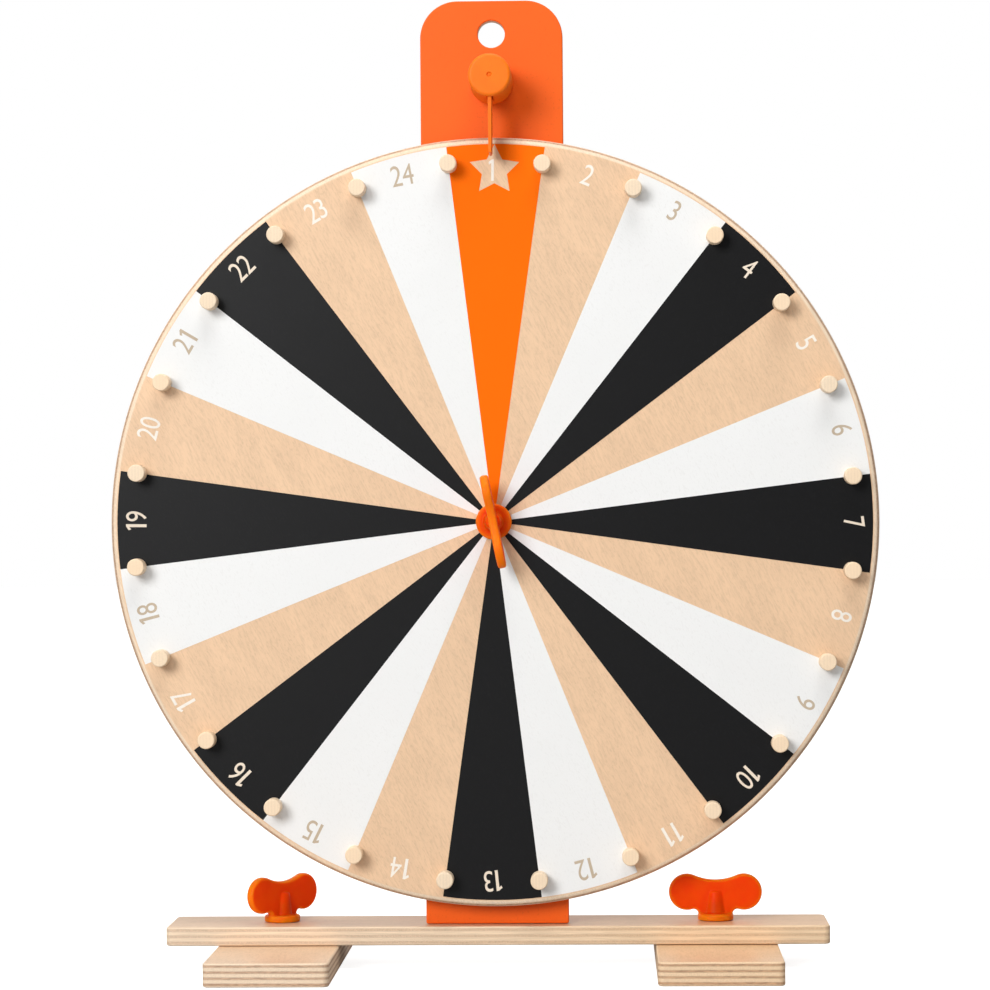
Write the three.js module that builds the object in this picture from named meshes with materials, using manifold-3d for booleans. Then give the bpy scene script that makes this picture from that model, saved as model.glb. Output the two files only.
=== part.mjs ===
// A tabletop prize wheel: a numbered plywood disc with dowel pegs that turns on a bolt through a
// tall painted board, a flexible pointer leaf that clicks over the pegs, and a plank with two
// clamped feet that swing in line with it for storage.
//
// Millimetres. +X is to the player's right, +Y towards the back, +Z up.
// The origin is on the table, midway between the feet.

import * as THREE from "three";
import { mergeVertices } from "three/addons/utils/BufferGeometryUtils.js";
import Module from "manifold-3d";

const wasm = await Module();
wasm.setup();

// ---------------------------------------------------------------- driving dimensions

const GAP = 0.3; // air between two pieces that touch on the real object

// feet and plank
const FOOT_WIDTH = 71.5;
const FOOT_LENGTH = 211;
const FOOT_THICK = 13.7;
const FOOT_SPACING = 257;
const PLANK_LENGTH = 389;
const PLANK_DEPTH = 57;
const PLANK_THICK = 11;
const PLANK_CORNER = 3;
const PLANK_EDGE = 1.2;

// upright board
const BOARD_WIDTH = 84;
const BOARD_THICK = 9;
const BOARD_TOP_Z = 568.7;
const BOARD_CORNER = 22;
const BOARD_EDGE = 0.8;
const BOARD_SETBACK = 11.5; // from the plank's front edge to the board's front face
const HANG_HOLE_Z = 549;
const HANG_HOLE_RADIUS = 8;

// wheel
const WHEEL_RADIUS = 225;
const WHEEL_THICK = 9;
const WHEEL_CENTRE_Z = 261.7;
const WHEEL_STANDOFF = 5; // from the board's front face to the wheel's back
const WHEEL_EDGE = 3.4;
const SECTORS = 24;
const PEG_RADIUS = 5;
const PEG_PROUD = 12;
const PEG_RING_RADIUS = 210.5;
const PEG_CHAMFER = 0.7;
const WHEEL_TURN = 0.65; // how far the wheel stands clockwise of upright, in degrees

// bolt through the wheel, and the studs under the wing knobs
const THREAD_RADIUS = 3;
const CLEAR_RADIUS = THREAD_RADIUS + GAP;
const BOLT_HEAD_RADIUS = 8;
const BOLT_HEAD_HIGH = 3.4;
const BOLT_NECK = 6.4; // side of the square under the head
const BOLT_NECK_LONG = 4;
const BUSH_RADIUS = 6;
const SPACER_RADIUS = 12;
const WASHER_RADIUS = 8;
const WASHER_THICK = 1;

// wing nut, measured up from its seat
const FLANGE_RADIUS = 10.5;
const FLANGE_THICK = 3.8;
const BOSS_BASE_RADIUS = 5.4;
const BOSS_TOP_RADIUS = 4.25;
const BOSS_TOP_Z = 17.2;
const WING_THICK = 5;
const WING_EDGE = 1.6;
const LOBE_RADIUS = 10.7;
const LOBE_X = 16.8;
const LOBE_Z = 16.5;
const DIP_Z = 23.7; // lowest point of the wing's top edge, between its lobes
const NECK_HALF_WIDTH = 10.1;
const NECK_FILLET = 2.8;
const NUT_BORE_DEEP = 10;

// how each wing stands at rest, in degrees
const CENTRE_WING_TURN = 101.3; // from +X towards +Z, seen from the front
const LEFT_WING_TURN = 50; // from +X towards +Y, seen from above

// pointer
const KNOB_RADIUS = 12.5;
const KNOB_LONG = 41.1;
const KNOB_CENTRE_Z = 519.9;
const KNOB_ROUND = 2;
const LEAF_THICK = 2.2;
const LEAF_DEPTH = 20;
const LEAF_SETBACK = 2.4; // from the knob's front face to the leaf's front edge
const LEAF_PIVOT_Z = 508.6;
const LEAF_TIP_Z = 475.2;
const LEAF_SWING = 25; // degrees each way

// ---------------------------------------------------------------- derived levels

const FOOT_X = FOOT_SPACING / 2;
const PLANK_BOTTOM_Z = FOOT_THICK + GAP;
const PLANK_TOP_Z = PLANK_BOTTOM_Z + PLANK_THICK;
const BOARD_BOTTOM_Z = PLANK_TOP_Z + GAP;
const BOARD_FRONT_Y = -PLANK_DEPTH / 2 + BOARD_SETBACK;
const BOARD_BACK_Y = BOARD_FRONT_Y + BOARD_THICK;
const BOARD_MIDDLE_Y = (BOARD_FRONT_Y + BOARD_BACK_Y) / 2;
const WHEEL_BACK_Y = BOARD_FRONT_Y - WHEEL_STANDOFF;
const WHEEL_FRONT_Y = WHEEL_BACK_Y - WHEEL_THICK;
const NUT_SEAT_Y = WHEEL_FRONT_Y - WASHER_THICK - 2 * GAP;
const KNOB_FRONT_Y = BOARD_FRONT_Y - GAP - KNOB_LONG;
const KNOB_SEAT_Z = PLANK_TOP_Z + GAP;

// threaded insert in each foot
const INSERT_FLANGE_RADIUS = 6;
const INSERT_FLANGE_THICK = 1.2;
const INSERT_BARREL_RADIUS = 4.5;
const INSERT_BOTTOM_Z = 1;
const INSERT_TOP_Z = 12;
const STUD_BOTTOM_Z = 3;

// wood screws
const SCREW_RADIUS = 1.8;
const SCREW_HEAD_RADIUS = 3.7;
const SCREW_TIP_LONG = 4;
const BASE_SCREW_LONG = 38;
const BASE_SCREW_X = 25;
const POINTER_SCREW_LONG = 30;
const POINTER_SCREW_OFFSET = 6;

// ---------------------------------------------------------------- materials

function finish(color, roughness, metalness = 0) {
  return () => new THREE.MeshStandardMaterial({ color, roughness, metalness });
}

const plywood = finish(0xe6c49c, 0.55);
const printedPlywood = finish(0xd9b48a, 0.5);
const dowelWood = finish(0xefd9b8, 0.65);
const orangePaint = finish(0xf4651f, 0.55);
const orangePlastic = finish(0xff8a2a, 0.4);
const redPlastic = finish(0xe8420c, 0.35);
const nylon = finish(0xe9e4d8, 0.6);
const brass = finish(0xc9a35a, 0.35, 1);
const steel = finish(0xb9bcc0, 0.35, 1);

// ---------------------------------------------------------------- shape helpers

function solidOf(geometry) {
  const bare = geometry.clone();
  bare.deleteAttribute("normal");
  bare.deleteAttribute("uv");
  const merged = mergeVertices(bare, 1e-4);
  return new wasm.Manifold(
    new wasm.Mesh({
      numProp: 3,
      vertProperties: new Float32Array(merged.attributes.position.array),
      triVerts: new Uint32Array(merged.index.array),
    }),
  );
}

function geometryOf(solid) {
  const mesh = solid.getMesh();
  const geometry = new THREE.BufferGeometry();
  geometry.setAttribute("position", new THREE.BufferAttribute(mesh.vertProperties, 3));
  geometry.setIndex(new THREE.BufferAttribute(mesh.triVerts, 1));
  geometry.computeVertexNormals();
  return geometry;
}

function cut(body, ...tools) {
  let solid = solidOf(body);
  for (const tool of tools) solid = solid.subtract(solidOf(tool));
  return geometryOf(solid);
}

function join(body, ...others) {
  let solid = solidOf(body);
  for (const other of others) solid = solid.add(solidOf(other));
  return geometryOf(solid);
}

// A profile of [radius, height] pairs, from the bottom up, turned about the Z axis.
function turned(profile, segments) {
  const points = profile.map(([radius, height]) => new THREE.Vector2(radius, height));
  return new THREE.LatheGeometry(points, segments).rotateX(Math.PI / 2);
}

// A plain rod along Z between two heights.
function rod(radius, low, high, segments = 16) {
  const profile = [
    [0, low],
    [radius, low],
    [radius, high],
    [0, high],
  ];
  return turned(profile, segments);
}

// A ring along Z between two heights.
function ring(outer, inner, low, high, segments = 20) {
  const profile = [
    [inner, low],
    [outer, low],
    [outer, high],
    [inner, high],
    [inner, low],
  ];
  return turned(profile, segments);
}

// A flat outline made into a board of the given thickness, from z = 0 up, its edges rounded.
function board(outline, thick, edge, curveSegments = 2, bevelSegments = 1) {
  const geometry = new THREE.ExtrudeGeometry(outline, {
    depth: thick - 2 * edge,
    bevelThickness: edge,
    bevelSize: edge,
    bevelOffset: -edge,
    bevelSegments,
    curveSegments,
  });
  return geometry.translate(0, 0, edge);
}

// Turns something built along +Z so that it points at the player, along -Y.
function facingPlayer(geometry) {
  return geometry.rotateX(Math.PI / 2);
}

function roundedRectangle(width, height, radius) {
  const x = width / 2;
  const y = height / 2;
  const shape = new THREE.Shape();
  shape.absarc(x - radius, y - radius, radius, 0, Math.PI / 2);
  shape.absarc(-x + radius, y - radius, radius, Math.PI / 2, Math.PI);
  shape.absarc(-x + radius, -y + radius, radius, Math.PI, 1.5 * Math.PI);
  shape.absarc(x - radius, -y + radius, radius, 1.5 * Math.PI, 2 * Math.PI);
  return shape;
}

function named(name, geometry, material, x = 0, y = 0, z = 0) {
  const mesh = new THREE.Mesh(geometry, material());
  mesh.name = name;
  mesh.position.set(x, y, z);
  return mesh;
}

// ---------------------------------------------------------------- stand

function footGeometry() {
  const outline = roundedRectangle(FOOT_WIDTH, FOOT_LENGTH, PLANK_CORNER);
  const bore = rod(INSERT_BARREL_RADIUS + GAP, -1, FOOT_THICK + 1);
  const recess = rod(INSERT_FLANGE_RADIUS + GAP, -1, INSERT_BOTTOM_Z + INSERT_FLANGE_THICK + GAP);
  return cut(board(outline, FOOT_THICK, PLANK_EDGE), bore, recess);
}

function insertGeometry() {
  const shoulder = INSERT_BOTTOM_Z + INSERT_FLANGE_THICK;
  const profile = [
    [CLEAR_RADIUS, INSERT_BOTTOM_Z],
    [INSERT_FLANGE_RADIUS, INSERT_BOTTOM_Z],
    [INSERT_FLANGE_RADIUS, shoulder],
    [INSERT_BARREL_RADIUS, shoulder],
    [INSERT_BARREL_RADIUS, INSERT_TOP_Z],
    [CLEAR_RADIUS, INSERT_TOP_Z],
    [CLEAR_RADIUS, INSERT_BOTTOM_Z],
  ];
  return turned(profile, 20);
}

// The countersunk hole of a wood screw that is driven up through the plank.
function countersink() {
  const profile = [
    [0, -1],
    [SCREW_HEAD_RADIUS + GAP, -1],
    [SCREW_HEAD_RADIUS + GAP, 0.9],
    [SCREW_RADIUS + GAP, 3.2],
    [SCREW_RADIUS + GAP, PLANK_THICK + 1],
    [0, PLANK_THICK + 1],
  ];
  return turned(profile, 20);
}

function plankGeometry() {
  const outline = roundedRectangle(PLANK_LENGTH, PLANK_DEPTH, PLANK_CORNER);
  const holes = [];
  for (const side of [-1, 1]) {
    holes.push(rod(CLEAR_RADIUS, -1, PLANK_THICK + 1).translate(side * FOOT_X, 0, 0));
    holes.push(countersink().translate(side * BASE_SCREW_X, BOARD_MIDDLE_Y, 0));
  }
  return cut(board(outline, PLANK_THICK, PLANK_EDGE), ...holes);
}

// The upright board stands on its square end and has two round top corners.
function uprightOutline() {
  const x = BOARD_WIDTH / 2;
  const cornerZ = BOARD_TOP_Z - BOARD_CORNER;
  const shape = new THREE.Shape();
  shape.moveTo(-x, BOARD_BOTTOM_Z);
  shape.lineTo(x, BOARD_BOTTOM_Z);
  shape.absarc(x - BOARD_CORNER, cornerZ, BOARD_CORNER, 0, Math.PI / 2);
  shape.absarc(-x + BOARD_CORNER, cornerZ, BOARD_CORNER, Math.PI / 2, Math.PI);
  return shape;
}

function uprightGeometry() {
  const body = facingPlayer(board(uprightOutline(), BOARD_THICK, BOARD_EDGE, 5));
  body.translate(0, BOARD_BACK_Y, 0);

  const through = (tool, height) => facingPlayer(tool).translate(0, BOARD_BACK_Y, height);
  const hangHole = through(rod(HANG_HOLE_RADIUS, -1, BOARD_THICK + 1, 32), HANG_HOLE_Z);
  const squareSide = BOLT_NECK + 2 * GAP;
  const boltHole = new THREE.BoxGeometry(squareSide, BOARD_THICK + 2, squareSide);
  boltHole.translate(0, BOARD_MIDDLE_Y, WHEEL_CENTRE_Z);

  const holes = [hangHole, boltHole];
  for (const side of [-1, 1]) {
    const pointerHole = rod(SCREW_RADIUS + GAP, -1, BOARD_THICK + 1, 16);
    holes.push(through(pointerHole, KNOB_CENTRE_Z + side * POINTER_SCREW_OFFSET));
    const pilotTop = PLANK_BOTTOM_Z + BASE_SCREW_LONG + 2;
    const pilot = rod(SCREW_RADIUS + GAP, BOARD_BOTTOM_Z - 1, pilotTop, 16);
    holes.push(pilot.translate(side * BASE_SCREW_X, BOARD_MIDDLE_Y, 0));
  }
  return cut(body, ...holes);
}

// ---------------------------------------------------------------- screws and bolts

// The cross slot of a screw head, cut down from z = 0.
function crossSlot(width, deep) {
  const one = new THREE.BoxGeometry(width, 0.9, 2 * deep);
  const other = new THREE.BoxGeometry(0.9, width, 2 * deep);
  return [one, other];
}

// Countersunk wood screw, its head's flat face at z = 0 and its tip up.
function countersunkScrew(long) {
  const profile = [
    [0, 0],
    [SCREW_HEAD_RADIUS, 0],
    [SCREW_HEAD_RADIUS, 0.4],
    [SCREW_RADIUS, 2.4],
    [SCREW_RADIUS, long - SCREW_TIP_LONG],
    [0.2, long],
    [0, long],
  ];
  return cut(turned(profile, 20), ...crossSlot(4.4, 1.3));
}

// Pan-head wood screw: the head is below z = 0 and the tip up.
function panScrew(long) {
  const profile = [
    [0, -2.4],
    [2.2, -2.3],
    [3.3, -1.6],
    [SCREW_HEAD_RADIUS, -0.5],
    [SCREW_HEAD_RADIUS, 0],
    [SCREW_RADIUS, 0],
    [SCREW_RADIUS, long - SCREW_TIP_LONG],
    [0.2, long],
    [0, long],
  ];
  const slots = crossSlot(4.2, 1.4).map((slot) => slot.translate(0, 0, -2.5));
  return cut(turned(profile, 20), ...slots);
}

// Carriage bolt along +Z: a domed head below z = 0, a square neck, and a plain shank.
function carriageBolt(long) {
  const dome = [[0, -BOLT_HEAD_HIGH]];
  for (const turn of [0.28, 0.52, 0.76]) {
    const angle = (turn * Math.PI) / 2;
    dome.push([BOLT_HEAD_RADIUS * Math.sin(angle), -BOLT_HEAD_HIGH * Math.cos(angle)]);
  }
  dome.push([BOLT_HEAD_RADIUS, -0.5], [BOLT_HEAD_RADIUS, 0], [THREAD_RADIUS, 0]);
  dome.push([THREAD_RADIUS, long - 0.6], [THREAD_RADIUS - 0.6, long], [0, long]);
  const neck = new THREE.BoxGeometry(BOLT_NECK, BOLT_NECK, BOLT_NECK_LONG + 0.2);
  neck.translate(0, 0, BOLT_NECK_LONG / 2 - 0.1);
  return join(turned(dome, 24), neck);
}

// ---------------------------------------------------------------- wing nut

// The flange, and the tapered boss above it with a round top.
function nutBody() {
  const profile = [
    [0, 0],
    [FLANGE_RADIUS - 0.4, 0],
    [FLANGE_RADIUS, 0.4],
    [FLANGE_RADIUS, FLANGE_THICK - 0.6],
    [FLANGE_RADIUS - 0.6, FLANGE_THICK],
    [BOSS_BASE_RADIUS + 1.1, FLANGE_THICK],
    [BOSS_BASE_RADIUS, FLANGE_THICK + 1.1],
    [BOSS_TOP_RADIUS, BOSS_TOP_Z - 2.2],
    [BOSS_TOP_RADIUS - 0.8, BOSS_TOP_Z - 0.8],
    [BOSS_TOP_RADIUS - 2.1, BOSS_TOP_Z],
    [0, BOSS_TOP_Z],
  ];
  return turned(profile, 24);
}

// Two round lobes joined by a shallow dip, with a neck as wide as the flange. Every arc is
// tangent to the next: the fillet touches the neck's side and the lobe, the dip both lobes.
function wingOutline() {
  const filletX = NECK_HALF_WIDTH + NECK_FILLET;
  const filletReach = LOBE_RADIUS + NECK_FILLET;
  const filletDrop = Math.sqrt(filletReach ** 2 - (LOBE_X - filletX) ** 2);
  const filletZ = LOBE_Z - filletDrop;
  const filletEnd = Math.atan2(filletDrop, LOBE_X - filletX);

  const rise = DIP_Z - LOBE_Z;
  const dipRadius = (LOBE_X ** 2 + rise ** 2 - LOBE_RADIUS ** 2) / (2 * (LOBE_RADIUS - rise));
  const dipCentreZ = DIP_Z + dipRadius;
  const lobeEnd = Math.atan2(dipCentreZ - LOBE_Z, -LOBE_X);

  const shape = new THREE.Shape();
  shape.moveTo(-NECK_HALF_WIDTH, 1);
  shape.lineTo(NECK_HALF_WIDTH, 1);
  shape.absarc(filletX, filletZ, NECK_FILLET, Math.PI, filletEnd, true);
  shape.absarc(LOBE_X, LOBE_Z, LOBE_RADIUS, filletEnd - Math.PI, lobeEnd);
  shape.absarc(0, dipCentreZ, dipRadius, lobeEnd - Math.PI, -lobeEnd, true);
  shape.absarc(-LOBE_X, LOBE_Z, LOBE_RADIUS, Math.PI - lobeEnd, 2 * Math.PI - filletEnd);
  shape.absarc(-filletX, filletZ, NECK_FILLET, Math.PI - filletEnd, 0, true);
  return shape;
}

// A wing nut along +Z with its seat at z = 0, its wing in the XZ plane, and a blind bore.
function wingNut() {
  const wing = facingPlayer(board(wingOutline(), WING_THICK, WING_EDGE, 6, 2));
  wing.translate(0, WING_THICK / 2, 0);
  const bore = rod(CLEAR_RADIUS, -1, NUT_BORE_DEEP);
  return cut(join(nutBody(), wing), bore);
}

// ---------------------------------------------------------------- wheel

function discGeometry() {
  const half = WHEEL_EDGE * (1 - Math.SQRT1_2);
  const profile = [
    [0, 0],
    [WHEEL_RADIUS - WHEEL_EDGE, 0],
    [WHEEL_RADIUS - half, half],
    [WHEEL_RADIUS, WHEEL_EDGE],
    [WHEEL_RADIUS, WHEEL_THICK - WHEEL_EDGE],
    [WHEEL_RADIUS - half, WHEEL_THICK - half],
    [WHEEL_RADIUS - WHEEL_EDGE, WHEEL_THICK],
    [0, WHEEL_THICK],
  ];
  const holes = [rod(BUSH_RADIUS + GAP, -1, WHEEL_THICK + 1)];
  for (let i = 0; i < SECTORS; i++) {
    const angle = pegAngle(i);
    const hole = rod(PEG_RADIUS + GAP, -1, WHEEL_THICK + 1, 12);
    holes.push(hole.translate(PEG_RING_RADIUS * Math.sin(angle), PEG_RING_RADIUS * Math.cos(angle), 0));
  }
  return facingPlayer(cut(turned(profile, 96), ...holes));
}

// How far round the wheel a peg stands, clockwise from the top, in radians.
function pegAngle(index) {
  return ((index + 0.5) / SECTORS) * 2 * Math.PI + THREE.MathUtils.degToRad(WHEEL_TURN);
}

// A dowel from the back of the disc to its proud tip, with both ends chamfered.
function pegGeometry() {
  const long = WHEEL_THICK + PEG_PROUD;
  const profile = [
    [0, 0],
    [PEG_RADIUS - PEG_CHAMFER, 0],
    [PEG_RADIUS, PEG_CHAMFER],
    [PEG_RADIUS, long - PEG_CHAMFER],
    [PEG_RADIUS - PEG_CHAMFER, long],
    [0, long],
  ];
  return facingPlayer(turned(profile, 12));
}

function wheel() {
  const group = new THREE.Group();
  group.position.set(0, WHEEL_BACK_Y, WHEEL_CENTRE_Z);
  group.add(named("wheel_disc", discGeometry(), printedPlywood));
  const bush = facingPlayer(ring(BUSH_RADIUS, CLEAR_RADIUS, 0, WHEEL_THICK));
  group.add(named("wheel_bush", bush, brass));
  for (let i = 0; i < SECTORS; i++) {
    const angle = pegAngle(i);
    const x = PEG_RING_RADIUS * Math.sin(angle);
    const z = PEG_RING_RADIUS * Math.cos(angle);
    const name = "peg_" + String(i + 1).padStart(2, "0");
    group.add(named(name, pegGeometry(), dowelWood, x, 0, z));
  }
  return group;
}

// The bolt, spacer, washer and wing nut that hold the wheel.
function axle() {
  const group = new THREE.Group();
  group.position.set(0, 0, WHEEL_CENTRE_Z);

  const boltStartY = BOARD_BACK_Y + GAP;
  const boltLong = boltStartY - (NUT_SEAT_Y - NUT_BORE_DEEP + 0.5);
  group.add(named("centre_bolt", facingPlayer(carriageBolt(boltLong)), steel, 0, boltStartY, 0));

  const spacer = facingPlayer(ring(SPACER_RADIUS, CLEAR_RADIUS, GAP, WHEEL_STANDOFF - GAP));
  group.add(named("spacer_washer", spacer, nylon, 0, BOARD_FRONT_Y, 0));

  const washer = facingPlayer(ring(WASHER_RADIUS, CLEAR_RADIUS, GAP, GAP + WASHER_THICK));
  group.add(named("front_washer", washer, steel, 0, WHEEL_FRONT_Y, 0));

  const turn = new THREE.Group();
  turn.position.set(0, NUT_SEAT_Y, 0);
  turn.rotation.y = -THREE.MathUtils.degToRad(CENTRE_WING_TURN);
  turn.add(named("centre_wing_nut", facingPlayer(wingNut()), redPlastic));
  group.add(turn);
  return group;
}

// ---------------------------------------------------------------- pointer

// The leaf's root is round about its pivot, and its tip has small round corners.
function leafGeometry() {
  const half = LEAF_THICK / 2;
  const long = LEAF_PIVOT_Z - LEAF_TIP_Z;
  const tipRound = 0.7;
  const shape = new THREE.Shape();
  shape.absarc(0, 0, half, 0, Math.PI);
  shape.absarc(-half + tipRound, -long + tipRound, tipRound, Math.PI, 1.5 * Math.PI);
  shape.absarc(half - tipRound, -long + tipRound, tipRound, 1.5 * Math.PI, 2 * Math.PI);
  return facingPlayer(board(shape, LEAF_DEPTH, 0.3, 3));
}

// The pocket in the knob's underside that lets the leaf swing to both its limits.
function leafPocket() {
  const swing = THREE.MathUtils.degToRad(LEAF_SWING + 1);
  const half = LEAF_THICK / 2 + GAP;
  const reach = 8;
  const shape = new THREE.Shape();
  shape.absarc(0, 0, half, swing, Math.PI - swing);
  shape.lineTo(-half * Math.cos(swing) - reach * Math.sin(swing), -reach * Math.cos(swing));
  shape.lineTo(half * Math.cos(swing) + reach * Math.sin(swing), -reach * Math.cos(swing));
  const pocket = new THREE.ExtrudeGeometry(shape, {
    depth: LEAF_DEPTH + 2 * GAP,
    bevelEnabled: false,
    curveSegments: 8,
  });
  return pocket.translate(0, 0, -GAP);
}

// The knob is a round bar with a softened front edge and a dimple with a small dot in it.
function knobGeometry() {
  const front = KNOB_LONG;
  const half = KNOB_ROUND * (1 - Math.SQRT1_2);
  const profile = [
    [0, 0],
    [KNOB_RADIUS - 0.5, 0],
    [KNOB_RADIUS, 0.5],
    [KNOB_RADIUS, front - KNOB_ROUND],
    [KNOB_RADIUS - half, front - half],
    [KNOB_RADIUS - KNOB_ROUND, front],
    [1.4, front],
    [1.1, front - 0.9],
    [0.6, front - 0.9],
    [0.4, front - 0.5],
    [0, front - 0.5],
  ];
  const pocket = leafPocket().translate(0, LEAF_PIVOT_Z - KNOB_CENTRE_Z, 0);
  pocket.translate(0, 0, KNOB_LONG - LEAF_SETBACK - LEAF_DEPTH);
  const cuts = [pocket];
  for (const side of [-1, 1]) {
    const pilotLong = POINTER_SCREW_LONG - BOARD_THICK + 2;
    const pilot = rod(SCREW_RADIUS + GAP, -1, pilotLong, 16);
    cuts.push(pilot.translate(0, side * POINTER_SCREW_OFFSET, 0));
  }
  return facingPlayer(cut(turned(profile, 32), ...cuts));
}

function pointer() {
  const group = new THREE.Group();
  group.add(named("pointer_knob", knobGeometry(), orangePlastic, 0, BOARD_FRONT_Y - GAP, KNOB_CENTRE_Z));
  const leafBackY = KNOB_FRONT_Y + LEAF_SETBACK + LEAF_DEPTH;
  group.add(named("pointer_leaf", leafGeometry(), orangePlastic, 0, leafBackY, LEAF_PIVOT_Z));
  for (const [name, side] of [["pointer_screw_upper", 1], ["pointer_screw_lower", -1]]) {
    const screw = facingPlayer(panScrew(POINTER_SCREW_LONG));
    const height = KNOB_CENTRE_Z + side * POINTER_SCREW_OFFSET;
    group.add(named(name, screw, steel, 0, BOARD_BACK_Y + GAP, height));
  }
  return group;
}

// ---------------------------------------------------------------- assembly

function stand() {
  const group = new THREE.Group();
  group.add(named("base_plank", plankGeometry(), plywood, 0, 0, PLANK_BOTTOM_Z));
  group.add(named("upright_board", uprightGeometry(), orangePaint));
  for (const [side, sign, turn] of [["left", -1, LEFT_WING_TURN], ["right", 1, 0]]) {
    const x = sign * FOOT_X;
    group.add(named("foot_" + side, footGeometry(), plywood, x));
    group.add(named("threaded_insert_" + side, insertGeometry(), brass, x));

    const stud = rod(THREAD_RADIUS, STUD_BOTTOM_Z, KNOB_SEAT_Z + NUT_BORE_DEEP - 0.5);
    group.add(named("stud_" + side, stud, steel, x));
    const knob = named("wing_knob_" + side, wingNut(), redPlastic, x, 0, KNOB_SEAT_Z);
    knob.rotation.z = THREE.MathUtils.degToRad(turn);
    group.add(knob);

    const screw = countersunkScrew(BASE_SCREW_LONG);
    const screwX = sign * BASE_SCREW_X;
    const screwZ = PLANK_BOTTOM_Z + GAP;
    group.add(named("base_screw_" + side, screw, steel, screwX, BOARD_MIDDLE_Y, screwZ));
  }
  return group;
}

const group = new THREE.Group();
group.add(stand(), wheel(), axle(), pointer());

export default group;
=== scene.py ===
"""Detailed model of a tabletop prize wheel: a printed plywood disc with dowel pegs on a painted board,
a flexible pointer above it, and a plank on two feet, each clamped by a wing knob.

Every piece is built round its own axes, in metres, and is then put where its frame node stands.
X is to the player's right, Y towards the back and Z up.
"""

import math

import bmesh
import bpy
import numpy as np
from bpy.props import FloatProperty, FloatVectorProperty, IntProperty, PointerProperty
from bpy.types import Operator, Panel, PropertyGroup
from mathutils import Euler, Matrix, Vector


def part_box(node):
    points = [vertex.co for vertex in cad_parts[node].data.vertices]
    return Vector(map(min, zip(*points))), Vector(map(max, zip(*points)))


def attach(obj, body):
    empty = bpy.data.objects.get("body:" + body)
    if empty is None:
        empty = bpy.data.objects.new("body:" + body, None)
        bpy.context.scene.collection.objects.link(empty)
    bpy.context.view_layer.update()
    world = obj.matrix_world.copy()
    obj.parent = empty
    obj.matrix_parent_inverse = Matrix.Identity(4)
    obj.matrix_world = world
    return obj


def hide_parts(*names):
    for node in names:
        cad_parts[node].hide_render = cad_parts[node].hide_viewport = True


bl_info = {
    "name": "Prize Wheel",
    "version": (1, 0, 0),
    "blender": (4, 5, 0),
    "location": "View3D > Sidebar > Prize Wheel",
    "description": "Builds a tabletop prize wheel with pegs, pointer, wing knobs and stand",
    "category": "Add Mesh",
}

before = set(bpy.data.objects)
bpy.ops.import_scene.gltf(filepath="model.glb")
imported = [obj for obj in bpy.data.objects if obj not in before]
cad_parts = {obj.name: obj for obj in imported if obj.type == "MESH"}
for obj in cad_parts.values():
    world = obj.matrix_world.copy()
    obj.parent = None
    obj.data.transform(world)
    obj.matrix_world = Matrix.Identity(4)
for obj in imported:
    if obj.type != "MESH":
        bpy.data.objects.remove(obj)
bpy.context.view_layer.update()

MM = 0.001
Y_AXIS, Z_AXIS = 1, 2
OWN_PLACE = "own_place"  # attribute with each point's place on the piece's own axes
THIN_EDGE = "thin_edge"  # attribute with each wing nut point's depth inside the moulding's outline
LOT_STEP = 0.1  # metres between like pieces along the own Z of that attribute, so that their grain differs

# The two ways a piece's own axes can stand. Each row is where one own axis points.
FLAT = np.array([[1, 0, 0], [0, 1, 0], [0, 0, 1]], float)
FACING_PLAYER = np.array([[1, 0, 0], [0, 0, 1], [0, -1, 0]], float)

# Turns that bring a board's veneer fibres onto X, as the wood's pattern wants them.
FOOT_GRAIN = (0, 0, math.pi / 2)
PLANK_GRAIN = (0, 0, 0)
UPRIGHT_GRAIN = (math.pi / 2, math.pi / 2, 0)
WHEEL_GRAIN = (math.pi / 2, 0, math.radians(-62))


def length(name, text, value):
    """A size in metres, given in millimetres."""
    return FloatProperty(name=name, description=text, default=value * MM, min=0.0, unit="LENGTH", precision=4)


def shift(name, text, value):
    """A move either way in metres, given in millimetres."""
    return FloatProperty(name=name, description=text, default=value * MM, unit="LENGTH", precision=4)


def metres(name, text, value):
    """A place or distance in metres."""
    return FloatProperty(name=name, description=text, default=value, unit="LENGTH", precision=4)


def plain_number(name, text, value):
    """A plain number."""
    return FloatProperty(name=name, description=text, default=value, precision=3)


def watts(name, text, value):
    """A lamp's power."""
    return FloatProperty(name=name, description=text, default=value, min=0.0, unit="POWER")


def whole_number(name, text, value):
    """A whole number of three or more."""
    return IntProperty(name=name, description=text, default=value, min=3)


def angle(name, text, degrees):
    """An angle, given in degrees."""
    return FloatProperty(name=name, description=text, default=math.radians(degrees), subtype="ANGLE")


def colour(name, text, red, green, blue):
    """A linear colour."""
    return FloatVectorProperty(
        name=name, description=text, default=(red, green, blue), subtype="COLOR", size=3, min=0.0, max=1.0
    )


# ---------------------------------------------------------------- sizes and colours


class StandSizes(PropertyGroup):
    """Sizes of the feet, plank and upright board"""

    corner: length("Corner radius", "Rounding of the feet's and plank's corners, from above", 4.0)
    edge: length("Edge rounding", "Rounding along the feet's and plank's edges", 1.2)
    board_corner: length("Board corner", "Radius of the upright board's top corners", 22.0)
    board_edge: length("Board edge", "Rounding along the upright board's edges", 0.8)
    hang_radius: length("Hang hole radius", "Radius of the hole that a wall hook goes through", 8.0)
    hang_drop: length("Hang hole drop", "From the board's top to the middle of the hang hole", 19.7)
    plies: whole_number("Plies", "Layers of veneer in the plank and the board", 7)
    foot_plies: whole_number("Foot plies", "Layers of veneer in the feet", 9)


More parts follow.
